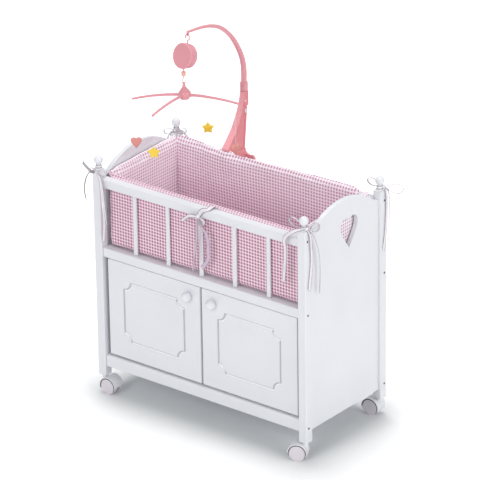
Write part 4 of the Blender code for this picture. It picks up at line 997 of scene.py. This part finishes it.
@dataclass
class Ornaments:
    """Puffed wooden hearts and stars that hang on the strings.

    The right half of a heart is three curves, whose points are shares of its width and its height.
    """

    heart_width: float = 0.022
    heart_height: float = 0.023
    star_radius: float = 0.0130
    star_waist_share: float = 0.50
    star_points: int = 5
    star_blunt_radians: float = 0.07
    edge_share: float = 0.25
    thickness: float = 0.0062
    turns: dict[str, float] = field(default_factory=lambda: {
        "left": -48.0, "front": -60.0, "back": -55.0, "right": -12.0,
    })
    steps: int = 6
    ring_shares: tuple[float, ...] = (1.0, 0.965, 0.88, 0.72, 0.48, 0.22)
    heart_shares: tuple[Outline, ...] = (
        ((0.0, 0.38), (0.05, 0.47), (0.14, 0.50), (0.25, 0.50)),
        ((0.25, 0.50), (0.39, 0.50), (0.50, 0.39), (0.50, 0.24)),
        ((0.50, 0.24), (0.50, 0.02), (0.20, -0.24), (0.0, -0.50)),
    )

    def build(self, hung: dict[str, str]) -> dict[str, bpy.types.Object]:
        """Make the four ornaments.

        Args:
            hung: the kind of ornament on each side.

        Returns:
            The pieces by side.
        """
        made = {}
        for side, kind in hung.items():
            node = f"{kind}_{side}"
            low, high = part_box(node)
            outline = self.heart() if kind == "heart" else self.star()
            top = max(up for _, up in outline)
            centre = Vector(((low.x + high.x) / 2, (low.y + high.y) / 2, high.z - top))
            turn = math.radians(self.turns[side]) + math.pi / 2
            place = Matrix.Translation(centre) @ Matrix.Rotation(turn, 4, "Z")
            place = place @ Matrix.Rotation(math.pi / 2, 4, "X")
            finish = CORAL_PAINT if kind == "heart" else YELLOW_PAINT
            piece = self.puffed(f"wooden_{node}", outline, place, finish, node)
            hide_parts(node)
            made[side] = piece
            log.info("ornament %s", piece.name)
        return made

    def heart(self) -> list[tuple[float, float]]:
        """Return a heart's outline about its centre.

        Returns:
            The outline's points.
        """
        right = []
        for shares in self.heart_shares:
            for step in range(self.steps):
                share, rest = step / self.steps, 1 - step / self.steps
                weights = (rest ** 3, 3 * share * rest ** 2, 3 * share ** 2 * rest, share ** 3)
                across = sum(weight * knot[0] for weight, knot in zip(weights, shares))
                up = sum(weight * knot[1] for weight, knot in zip(weights, shares))
                right.append((across * self.heart_width, up * self.heart_height))
        left = [(-across, up) for across, up in reversed(right[1:])]
        return right + [(0.0, -self.heart_height / 2)] + left

    def star(self) -> list[tuple[float, float]]:
        """Return a five-pointed star's outline with blunted points.

        Returns:
            The outline's points.
        """
        points = []
        for index in range(2 * self.star_points):
            tip = index % 2 == 0
            reach = self.star_radius * (1 if tip else self.star_waist_share)
            angle = math.pi / 2 + index * math.pi / self.star_points
            blunt = self.star_blunt_radians
            for nudge in ((-blunt, blunt) if tip else (0.0,)):
                points.append((reach * math.cos(angle + nudge), reach * math.sin(angle + nudge)))
        return points

    def puffed(
        self, name: str, outline: Outline, place: Matrix, finish: Finish, body: str
    ) -> bpy.types.Object:
        """Crown an outline to both sides.

        Args:
            name: the piece's name.
            outline: its points, across and up.
            place: where it hangs.
            finish: its finish.
            body: the body that carries it.

        Returns:
            The piece.
        """
        bm = bmesh.new()
        sides = []
        for sign in (1, -1):
            rings = []
            for share in self.ring_shares:
                crown = math.sqrt(max(1 - share ** 3, 0.0))
                depth = sign * self.thickness / 2 * (self.edge_share + (1 - self.edge_share) * crown)
                rings.append([bm.verts.new((across * share, up * share, depth)) for across, up in outline])
            centre = bm.verts.new((0.0, 0.0, sign * self.thickness / 2))
            for outer, inner in zip(rings, rings[1:]):
                bridge(bm, outer, inner)
            for index, vert in enumerate(rings[-1]):
                bm.faces.new((vert, rings[-1][(index + 1) % len(outline)], centre))
            sides.append(rings[0])
        bridge(bm, *sides)
        bmesh.ops.transform(bm, matrix=place, verts=bm.verts)
        piece = settle(name, bm, finish, body)
        rounded = piece.modifiers.new("rounded", "SUBSURF")
        rounded.levels = rounded.render_levels = 1
        return piece


@dataclass
class Woodwork:
    """The painted boards, rails, slats, posts, doors and knobs."""

    along: tuple[str, ...] = ("rail_", "crib_floor", "cabinet_floor")
    upright: tuple[str, ...] = ("post_", "end_panel", "slat_", "cabinet_back", "knob_")
    screw_heights: tuple[float, ...] = (0.0693, 0.307, 0.4586)
    screw_radius: float = 0.0022
    screw_depth: float = 0.0006
    screw_steps: int = 14
    screw_shares: Outline = (
        (0.0, 0.25), (0.30, 0.25), (0.36, 0.9), (0.88, 0.9), (1.0, 0.5), (1.0, -1.0), (0.0, -1.0),
    )

    def build(self, frame: dict, cot: CotFrame) -> None:
        """Paint the woodwork and set the screws in the posts.

        Args:
            cot: where the cot's posts and rails stand.
        """
        for name, node in frame["nodes"].items():
            if name.startswith(self.along):
                paint_node(node, WHITE_ALONG)
            elif name.startswith("door_"):
                paint_node(node, ROUTED)
            elif name.startswith(self.upright):
                paint_node(node, WHITE)
        for corner in Corner:
            self.build_screws(cot, corner)
        log.info("woodwork painted")

    def build_screws(self, cot: CotFrame, corner: Corner) -> None:
        """Set a sunk screw where each rail meets a post, on the post's outer side.

        Args:
            cot: where the cot's posts and rails stand.
            corner: the post.
        """
        name, along, back = corner.value
        outer = cot.post(corner) + RIGHT * along * cot.half_post
        for index, height in enumerate(self.screw_heights):
            centre = Vector((outer.x, outer.y + back * self.screw_radius, height))
            profile = [(out * self.screw_radius, up * self.screw_depth) for out, up in self.screw_shares]
            screw, place = f"rail_screw_{name}_{index + 1}", facing(RIGHT * along, centre)
            turned_piece(screw, profile, self.screw_steps, place, DARK_STEEL, "cot")


@dataclass
class Casters:
    """The four swivel casters, with a painted shade over the gap between each wheel and its hood."""

    gap_radius: float = 0.0169
    gap_half: float = 0.0009
    gap_taper: float = 0.15
    gap_arc: tuple[float, float] = (-38.0, 200.0)
    side: float = 0.0140
    proud: float = 0.0002
    steps: int = 30

    def build(self, frame: dict) -> None:
        """Give the hoods and wheels their plastic.
        """
        for name, node in frame["nodes"].items():
            if name.endswith("_hood"):
                paint_node(node, WHITE_PLASTIC)
            elif name.endswith("_wheels"):
                paint_node(node, WHEEL_PLASTIC)
        for joint in frame["joints"]:
            if joint["name"].endswith("_roll"):
                self.build_gap(joint, 1)
                self.build_gap(joint, -1)
        log.info("casters dressed")

    def build_gap(self, joint: dict, sign: int) -> None:
        """Lay a thin dark crescent over the gap between a hood and a wheel, as a painted shade.

        Args:
            joint: the joint that the wheel pair rolls on.
            sign: which of the hood's two sides.
        """
        low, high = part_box(joint["child"])
        bm = bmesh.new()
        rings = []
        for step in range(self.steps + 1):
            share = step / self.steps
            angle = math.radians(self.gap_arc[0] + (self.gap_arc[1] - self.gap_arc[0]) * share)
            fullness = math.sqrt(math.sin(math.pi * share))
            half = self.gap_half * (self.gap_taper + (1 - self.gap_taper) * fullness)
            inner, outer = self.gap_radius - half, self.gap_radius + half
            corners = ((inner, 0.0), (inner, self.proud), (outer, self.proud), (outer, 0.0))
            rings.append([
                bm.verts.new((radius * math.cos(angle), radius * math.sin(angle), self.side + depth))
                for radius, depth in corners
            ])
        for first, second in zip(rings, rings[1:]):
            bridge(bm, first, second)
        bm.faces.new(rings[0])
        bm.faces.new(rings[-1])
        place = facing(Vector(joint["axis"]) * sign, (low + high) / 2)
        bmesh.ops.transform(bm, matrix=place, verts=bm.verts)
        hood = joint["parent"]
        # Painted shade: the dark crescent rides on the hood.
        settle(f"{hood}_gap_{'near' if sign > 0 else 'far'}", bm, WHEEL_GAP_SHADE, hood, False)


CLOTH_SETTINGS = {
    "use_pressure": True, "uniform_pressure_force": 3.5, "quality": 4, "mass": 0.2,
    "tension_stiffness": 12.0, "compression_stiffness": 8.0, "bending_stiffness": 0.4,
}


@dataclass
class Pad:
    """One padded piece of the bedding, grown from its plain solid by a cloth simulation.

    The pad's ends reach over the corners by reach, its top edge rises by end_rise at the ends or drops
    by front_drop at the front, and it thins by thin_share over thin_zone below its top. Where the piece
    in pressed_by presses a dent in its back, the dent is filled, because the cloth is soft there.
    """

    node: str
    finish: Finish
    slot: str
    fill: float = 0.6
    voxel: float = 0.0034
    shrink: float = 0.0005
    weld: float = 0.00001
    cap: float = 0.0028
    ripple: float = 0.0006
    ripple_scale: float = 22.0
    spill: float = 0.0022
    reach: float = 0.0
    end_zone: float = 0.010
    end_rise: float = 0.0
    front_drop: float = 0.0
    thin_share: float = 0.0
    thin_zone: float = 0.022
    pressed_by: str = ""
    press_below: float = 0.020
    press_fill: float = 3.25
    pressed_share: float = 0.30
    frames: int = 20
    even_rounds: int = 2
    even_factor: float = 0.5

    def build(self, frame: dict) -> bpy.types.Object:
        """Make the pad.


        Returns:
            The piece.
        """
        mesh = frame["nodes"][self.node].data.copy()
        piece = bpy.data.objects.new(f"padded_{self.node}", mesh)
        bpy.context.scene.collection.objects.link(piece)
        mesh.materials.clear()
        mesh.materials.append(self.finish.material())
        self.remesh(piece)
        start = [vert.co.copy() for vert in piece.data.vertices]
        self.swell(piece)
        self.hold(piece, start)
        smooth = piece.modifiers.new("soft", "SUBSURF")
        smooth.levels = smooth.render_levels = 1
        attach(piece, "cot")
        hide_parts(self.node)
        log.info("%s: %d points", piece.name, len(start))
        return piece

    def remesh(self, piece: bpy.types.Object) -> None:
        """Shrink the solid a little and cover it with even small faces.

        Args:
            piece: the pad.
        """
        bm = bmesh.new()
        bm.from_mesh(piece.data)
        self.shape(bm)
        bmesh.ops.remove_doubles(bm, verts=bm.verts, dist=self.weld)
        bm.normal_update()
        moves = [(vert, vert.normal * vert.calc_shell_factor()) for vert in bm.verts]
        for vert, outward in moves:
            vert.co -= outward * self.shrink
        bm.to_mesh(piece.data)
        bm.free()
        remesh = piece.modifiers.new("even faces", "REMESH")
        remesh.mode = "VOXEL"
        remesh.voxel_size = self.voxel
        evened = piece.modifiers.new("evened", "SMOOTH")
        evened.iterations = self.even_rounds
        evened.factor = self.even_factor
        self.bake(piece)

    def shape(self, bm: bmesh.types.BMesh) -> None:
        """Draw the pad's ends over the corners, bend its top edge and thin it there.

        Args:
            bm: the mesh.
        """
        low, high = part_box(self.node)
        middle, half = (low + high) / 2, (high - low) / 2
        crib = sum(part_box("crib_floor"), Vector()) / 2
        axis = 0 if half.x < half.y else 1
        outer = low[axis] if middle[axis] < crib[axis] else high[axis]
        inner = low[axis] + high[axis] - outer
        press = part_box(self.pressed_by) if self.pressed_by else (high, low)
        for vert in bm.verts:
            across, back = (vert.co.x - middle.x) / half.x, (middle.y - vert.co.y) / half.y
            up = max((vert.co.z - middle.z) / half.z, 0.0)
            thin = min(max(1 - (high.z - vert.co.z) / self.thin_zone, 0.0), 1.0)
            share = self.thin_share
            pressed = press[0].x - self.end_zone < vert.co.x < press[1].x + self.end_zone
            if pressed and vert.co.z > press[0].z - self.press_below:
                share = self.pressed_share
                vert.co[axis] = min(inner + (vert.co[axis] - inner) * self.press_fill, outer)
            vert.co[axis] = outer + (vert.co[axis] - outer) * (1 - share * thin)
            vert.co.z += self.end_rise * across ** 2 * up ** 2 - self.front_drop * max(back, 0.0) ** 2 * up
            if abs(vert.co.x - middle.x) > half.x - self.end_zone:
                vert.co.x += math.copysign(self.reach, across)

    def bake(self, piece: bpy.types.Object) -> None:
        """Apply what the piece's modifiers make.

        Args:
            piece: the pad.
        """
        graph = bpy.context.evaluated_depsgraph_get()
        made = bpy.data.meshes.new_from_object(piece.evaluated_get(graph))
        piece.modifiers.clear()
        piece.data = made
        for face in made.polygons:
            face.use_smooth = True

    def swell(self, piece: bpy.types.Object) -> None:
        """Blow the cloth up from inside.

        Args:
            piece: the pad.
        """
        cloth = piece.modifiers.new("cloth", "CLOTH")
        for key, value in CLOTH_SETTINGS.items():
            setattr(cloth.settings, key, value)
        cloth.settings.effector_weights.gravity = 0.0
        cloth.point_cache.frame_start = 1
        cloth.point_cache.frame_end = self.frames
        for number in range(1, self.frames + 1):
            bpy.context.scene.frame_set(number)
        self.bake(piece)
        bpy.context.scene.frame_set(1)

    def hold(self, piece: bpy.types.Object, start: Sequence[Vector]) -> None:
        """Cap how far each point may have moved, add shallow ripples and keep it in its own space.

        Args:
            piece: the pad.
            start: where its points stood before.
        """
        low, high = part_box(self.node)
        middle = sum(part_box("crib_floor"), Vector()) / 2
        for axis in range(3):
            if low[axis] > middle[axis]:
                low[axis] -= self.spill
            elif high[axis] < middle[axis]:
                high[axis] += self.spill
        high.z += self.spill + self.end_rise
        low.x -= self.reach
        high.x += self.reach
        for vert, before in zip(piece.data.vertices, start):
            moved = vert.co - before
            if moved.length > self.cap:
                moved *= self.cap / moved.length
            placed = before + moved + noise.noise_vector(before * self.ripple_scale) * self.ripple
            vert.co = [min(max(value, least), most) for value, least, most in zip(placed, low, high)]
        piece.data.update()


@dataclass
class Bedding:
    """The padding along the crib's four sides and the mattress, all in gingham."""

    reach: float = 0.0115

    def build(self, frame: dict) -> None:
        """Make the pads.
        """
        pads = (
            Pad("bumper_front", OUTER_GINGHAM, "quilted_padding", reach=self.reach,
                end_rise=0.005, thin_share=0.2),
            Pad("bumper_back", FRONT_GINGHAM, "quilted_padding", reach=self.reach,
                thin_share=0.5, pressed_by="mobile_clamp"),
            Pad("bumper_left", END_GINGHAM, "quilted_padding", front_drop=0.012, thin_share=0.5),
            Pad("bumper_right", END_GINGHAM, "quilted_padding", front_drop=0.006, thin_share=0.5),
            Pad("mattress", FLAT_GINGHAM, "mattress_cloth", fill=0.8),
        )
        for pad in pads:
            pad.build(frame)


@dataclass
class Ribbon:
    """A flat ribbon that follows a path, cupped a little, with a painted shade along its edges and a slanted
    end.
    """

    name: str
    path: Sequence[Vector]
    across: Vector
    width: float = 0.0065
    twist: float = 0.0
    finish: Finish = RIBBON
    gather_share: float = 0.45
    gather_rate: float = 3.5
    slant: float = 0.003
    cup: float = 0.0007
    thickness: float = 0.0003
    steps: int = 7
    edge_share: float = 0.26
    hangs: bool = False

    def build(self) -> bpy.types.Object:
        """Make the ribbon.

        Returns:
            The piece.
        """
        line = smooth_path(self.path, self.steps)
        bm = bmesh.new()
        rows = []
        reaches = (-1.0, -1.0 + self.edge_share, 0.0, 1.0 - self.edge_share, 1.0)
        for index, place in enumerate(line):
            share = index / (len(line) - 1)
            tangent = (line[min(index + 1, len(line) - 1)] - line[max(index - 1, 0)]).normalized()
            side = self.across - tangent * self.across.dot(tangent)
            side = Matrix.Rotation(math.radians(self.twist * share), 3, tangent) @ side.normalized()
            normal = tangent.cross(side)
            spread = min(share * self.gather_rate, 1.0)
            gather = self.gather_share + (1 - self.gather_share) * spread
            row = []
            for reach in reaches:
                cupped = normal * self.cup * (1 - reach ** 2) * gather
                cut = tangent * self.slant * reach * (share == 1.0)
                row.append(bm.verts.new(place + side * reach * self.width / 2 * gather + cupped + cut))
            rows.append(row)
        last = len(reaches) - 2
        for first, second in zip(rows, rows[1:]):
            for strand in range(last + 1):
                face = bm.faces.new((first[strand], first[strand + 1], second[strand + 1], second[strand]))
                # The two outer strands take the edge material, a painted shade.
                face.material_index = int(strand in (0, last))
        piece = settle(self.name, bm, self.finish, "cot")
        piece.data.materials.append(RIBBON_EDGE_SHADE.material())
        thick = piece.modifiers.new("thick", "SOLIDIFY")
        thick.thickness = self.thickness
        thick.offset = 0.0
        return piece


@dataclass(frozen=True)
class Tail:
    """One hanging end of a bow: its points from the knot and its width, in millimetres."""

    points: Sequence[Point]
    across: Point
    width: float
    twist: float
    finish: Finish = RIBBON


@dataclass(frozen=True)
class PostTie:
    """The bow on one post: its knot from the neck, its loops and tails, in millimetres."""

    corner: Corner
    lean: float
    knot: Point
    loops: Sequence[Loop]
    tails: Sequence[Tail]


def millimetres(point: Point) -> Vector:
    """Return a point that is given in millimetres."""
    return Vector(point) * MILLIMETRE


@dataclass
class Bow:
    """A ribbon bow: a knot, loops and tails, set out from its knot.

    A loop is its tip from the knot and its height, in millimetres, and the way that its ribbon faces.
    """

    name: str
    knot: Vector
    loops: Sequence[Loop]
    tails: Sequence[Tail]
    knot_radius: float = 0.0034
    loop_width: float = 0.0055
    knot_steps: int = 14
    loop_stops: int = 12
    loop_gather: float = 0.6
    knot_turn: float = 0.3
    waist: Outline = (
        (0.0, 1.0), (0.55, 0.86), (0.92, 0.50), (0.88, 0.16), (0.98, 0.0),
        (0.88, -0.16), (0.92, -0.50), (0.55, -0.86), (0.0, -1.0),
    )

    def build(self) -> None:
        """Make the knot, the loops and the tails."""
        self.build_knot()
        for index, (tip, height, across) in enumerate(self.loops):
            self.build_loop(index, millimetres(tip), height * MILLIMETRE, Vector(across))
        for index, tail in enumerate(self.tails):
            path = [self.knot] + [self.knot + millimetres(point) for point in tail.points]
            Ribbon(
                f"{self.name}_tail_{index + 1}", path, Vector(tail.across), tail.width * MILLIMETRE,
                tail.twist, tail.finish, hangs=True,
            ).build()
        log.info("%s: %d loops, %d tails", self.name, len(self.loops), len(self.tails))

    def build_knot(self) -> None:
        """Make the knot, a lump with a fold round its waist."""
        profile = [(across * self.knot_radius, up * self.knot_radius) for across, up in self.waist]
        place = facing(RIGHT + BACK * self.knot_turn, self.knot)
        turned_piece(f"{self.name}_knot", profile, self.knot_steps, place, RIBBON, "cot")

    def build_loop(self, index: int, tip: Vector, height: float, across: Vector) -> None:
        """Make one loop, a drop shape that starts and ends in the knot.

        Args:
            index: its place among the bow's loops.
            tip: its far end from the knot.
            height: how tall it is.
            across: the way that its ribbon faces.
        """
        rise = across.cross(tip).normalized() * height / 2
        path = []
        for stop in range(self.loop_stops + 1):
            angle = math.pi * stop / self.loop_stops
            path.append(self.knot + tip * math.sin(angle) + rise * math.sin(2 * angle))
        Ribbon(
            f"{self.name}_loop_{index + 1}", path, across, self.loop_width,
            gather_share=self.loop_gather, slant=0.0, steps=3,
        ).build()


TO_FRONT = (0.1, -1.0, 0.1)
POST_TIES = (
    PostTie(
        Corner.FRONT_RIGHT, 6.0, (8.5, -3.5, 0.0),
        (((2, 36, -8), 16, (1.0, -0.2, 0.1)), ((-44, 4, 8), 15, TO_FRONT)),
        (
            Tail(((4, 6, -16), (4.5, 8.5, -42), (4, 10, -70), (4, 2, -126)), (0.0, 1.0, 0.0), 5.5, 35.0),
            Tail(((5, 12, -12), (6, 26, -42), (5, 34, -80), (4, 34, -142)), (0.0, 1.0, 0.2), 5.0, -50.0),
            Tail(((-20, -10, -6), (-40, -15, -24), (-42.5, -10.5, -50), (-44, -10.5, -82),
                  (-47, -10.5, -117)), (1.0, 0.0, 0.0), 8.8, 10.0),
        ),
    ),
    PostTie(
        Corner.FRONT_LEFT, 0.0, (4.0, -11.5, -9.5),
        (((26, -2, 6), 13, TO_FRONT), ((-16, -3, 4), 11, TO_FRONT)),
        (
            Tail(((-16, -1, -2), (-28, 0, -20), (-33.5, 1, -44), (-30, 1, -64)),
                 (0.3, 1.0, 0.0), 2.6, 60.0, RIBBON_GREY_SHADE),
            Tail(((-12, -1, 0), (-24, -1, 6), (-34, -1, 14)), (0.3, 0.6, 1.0), 5.0, 20.0, RIBBON_GREY_SHADE),
            Tail(((12, -2, -12), (17, -1, -50), (22, 0, -104)), (1.0, 0.0, 0.0), 6.5, 30.0),
            Tail(((11, -2, -16), (14, -1, -60), (16, 0, -100), (13, -1, -142)), (1.0, 0.3, 0.0), 6.0, -45.0),
        ),
    ),
    PostTie(
        Corner.BACK_RIGHT, -5.0, (8.5, 2.0, 2.0),
        (((26, 27, -10), 18, (0.7, -0.7, 0.2)), ((-40, 2, 4), 14, TO_FRONT)),
        (
            Tail(((4, 3, -16), (3.5, 4, -50), (4, 0, -94), (3, -6, -130)), (0.0, 1.0, 0.0), 5.0, 40.0),
            Tail(((5, 8, -12), (5, 11, -45), (5, 8, -118)), (0.0, 1.0, 0.2), 4.5, -30.0),
        ),
    ),
    PostTie(
        Corner.BACK_LEFT, 0.0, (4.0, -8.0, -1.0),
        (((-24, -6, -6), 12, (0.2, -1.0, 0.1)), ((26, 2, 4), 12, TO_FRONT)),
        (
            Tail(((14, 2, 2), (26, 4, -8), (38, 4, -20)), (0.0, 1.0, 0.3), 5.0, 30.0),
            Tail(((-12, -4, -10), (-20, -3, -26)), (0.0, 1.0, 0.0), 4.5, 20.0),
        ),
    ),
)
RAIL_LOOPS = (((18, -5, -10), 11, TO_FRONT),)
RAIL_TAILS = (
    Tail(((-14, -5, 1), (-26, -4, -6), (-37, -3, -16)), (0.2, 0.0, 1.0), 7.0, 10.0),
    Tail(((-10, -3, 2), (-20, -3, -3)), (0.2, 0.0, 1.0), 6.0, -10.0),
    Tail(((-1, -3, -20), (-3, -1, -45), (-6, -1, -66), (-15, 0, -116)),
         (1.0, 0.0, 0.0), 6.6, 25.0, RIBBON_LILAC_SHADE),
    Tail(((12, -4, -16), (22, -2, -30), (24.5, 0, -52), (23.5, 0, -66), (24.5, 0, -78), (17, 0, -93),
          (8, 0, -104)), (1.0, 0.0, 0.0), 8.0, -20.0, RIBBON_LILAC_SHADE),
)


@dataclass
class Ties:
    """The ribbons that tie the padding to the posts and to the front rail.

    The rail's knot and the points of the ribbon over the rail are in millimetres.
    """

    wrap_width: float = 0.0052
    wrap_radius: float = 0.0056
    wrap_stops: int = 16
    rail_knot: Point = (3.8, -4.0, 446.0)
    over_front: Point = (12.0, -2.0, -3.0)
    over_crest: tuple[Point, Point] = ((24.0, -7.0, 2.0), (24.0, 7.0, 3.0))
    over_inner: Point = (34.0, 1.0, -1.0)
    over_across: Point = (1.0, 0.0, 0.2)
    over_width: float = 0.0105
    over_twist: float = 25.0
    over_gather: float = 0.8
    rail_knot_radius: float = 0.0042
    rail_loop_width: float = 0.0090

    def build(self, cot: CotFrame) -> None:
        """Tie the five bows.

        Args:
            cot: where the cot's posts and rails stand.
        """
        for tie in POST_TIES:
            name, neck = tie.corner.value[0], cot.neck(tie.corner)
            self.wrap(f"tie_{name}_wrap", neck, tie.lean)
            Bow(f"bow_{name}", neck + millimetres(tie.knot), tie.loops, tie.tails).build()
        self.tie_rail(cot)

    def wrap(self, name: str, centre: Vector, lean: float) -> None:
        """Wind a ribbon once round a post's neck.

        Args:
            name: the piece's name.
            centre: the middle of the ring.
            lean: how far it tips, in degrees.
        """
        tip = Matrix.Rotation(math.radians(lean), 3, "X")
        path = []
        for stop in range(self.wrap_stops + 1):
            angle = 2 * math.pi * stop / self.wrap_stops
            path.append(centre + tip @ Vector((math.cos(angle), math.sin(angle), 0.0)) * self.wrap_radius)
        Ribbon(name, path, UP, self.wrap_width, gather_share=1.0, slant=0.0, steps=2).build()

    def tie_rail(self, cot: CotFrame) -> None:
        """Tie the bow over the middle of the front top rail.

        Args:
            cot: where the cot's posts and rails stand.
        """
        low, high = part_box("rail_front_top")
        front, middle, inner = (
            Vector((cot.centre.x, along, high.z)) for along in (low.y, (low.y + high.y) / 2, high.y)
        )
        knot = Vector((front.x, front.y, 0.0)) + millimetres(self.rail_knot)
        over = [knot, front + millimetres(self.over_front)]
        over += [middle + millimetres(point) for point in self.over_crest]
        over.append(inner + millimetres(self.over_inner))
        Ribbon(
            "tie_rail_over", over, Vector(self.over_across), self.over_width, self.over_twist,
            gather_share=self.over_gather,
        ).build()
        Bow("bow_rail", knot, RAIL_LOOPS, RAIL_TAILS, self.rail_knot_radius, self.rail_loop_width).build()


@dataclass
class Mobile:
    """The clamp with its two white studs, the arm, the music box, the spindle and the hanger."""

    pin_heights: tuple[float, ...] = (0.5678, 0.5470)
    pin_lengths: tuple[float, ...] = (1.0, 1.8)
    pin_radius: float = 0.0025
    pin_stand: float = 0.0062
    pin_behind: float = 0.0092
    pin_round: float = 0.0010
    pin_steps: int = 18
    pin_flat: float = 0.7
    pin_shoulder: float = 0.95
    pin_shoulder_drop: float = 0.4
    flanged: str = "mobile_clamp"
    pink: tuple[str, ...] = (
        "mobile_arm", "clamp_screw", "hanging_hook", "music_box_cover",
        "music_box_shell", "winding_key", "hanger",
    )

    def build(self, frame: dict) -> None:
        """Give the mobile's moulded pieces their plastic.
        """
        paint_node(frame["nodes"][self.flanged], PINK_PLASTIC_SIDE_SHADED)
        for name in self.pink:
            paint_node(frame["nodes"][name], PINK_PLASTIC)
        paint_node(frame["nodes"]["spindle_hook"], CORAL_PLASTIC)
        paint_node(frame["nodes"]["music_movement"], STEEL)
        self.build_pins()
        log.info("mobile dressed")

    def build_pins(self) -> None:
        """Set two white studs in the clamp's side, the lower one oblong."""
        low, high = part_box(self.flanged)
        radius, stand = self.pin_radius, self.pin_stand
        profile = [
            (0.0, stand), (radius * self.pin_flat, stand),
            (radius * self.pin_shoulder, stand - self.pin_round * self.pin_shoulder_drop),
            (radius, stand - self.pin_round), (radius, 0.0), (0.0, 0.0),
        ]
        for index, (height, length) in enumerate(zip(self.pin_heights, self.pin_lengths)):
            centre = Vector(((low.x + high.x) / 2, high.y - self.pin_behind, height))
            place = Matrix.Translation(centre) @ Matrix.Diagonal((1.0, 1.0, length, 1.0))
            place = place @ facing(RIGHT, Vector())
            turned_piece(f"white_stud_{index + 1}", profile, self.pin_steps, place, WHITE_PLASTIC, "cot")


def main() -> None:
    """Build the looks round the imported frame."""
    logging.basicConfig(level=logging.INFO, format="%(name)s: %(message)s")
    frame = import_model()
    cot = CotFrame()
    Studio().build(cot)
    strings = Strings()
    strings.build(Ornaments().build(strings.hung))
    Woodwork().build(frame, cot)
    Casters().build(frame)
    Bedding().build(frame)
    Ties().build(cot)
    Mobile().build(frame)


if __name__ == "__main__":
    main()
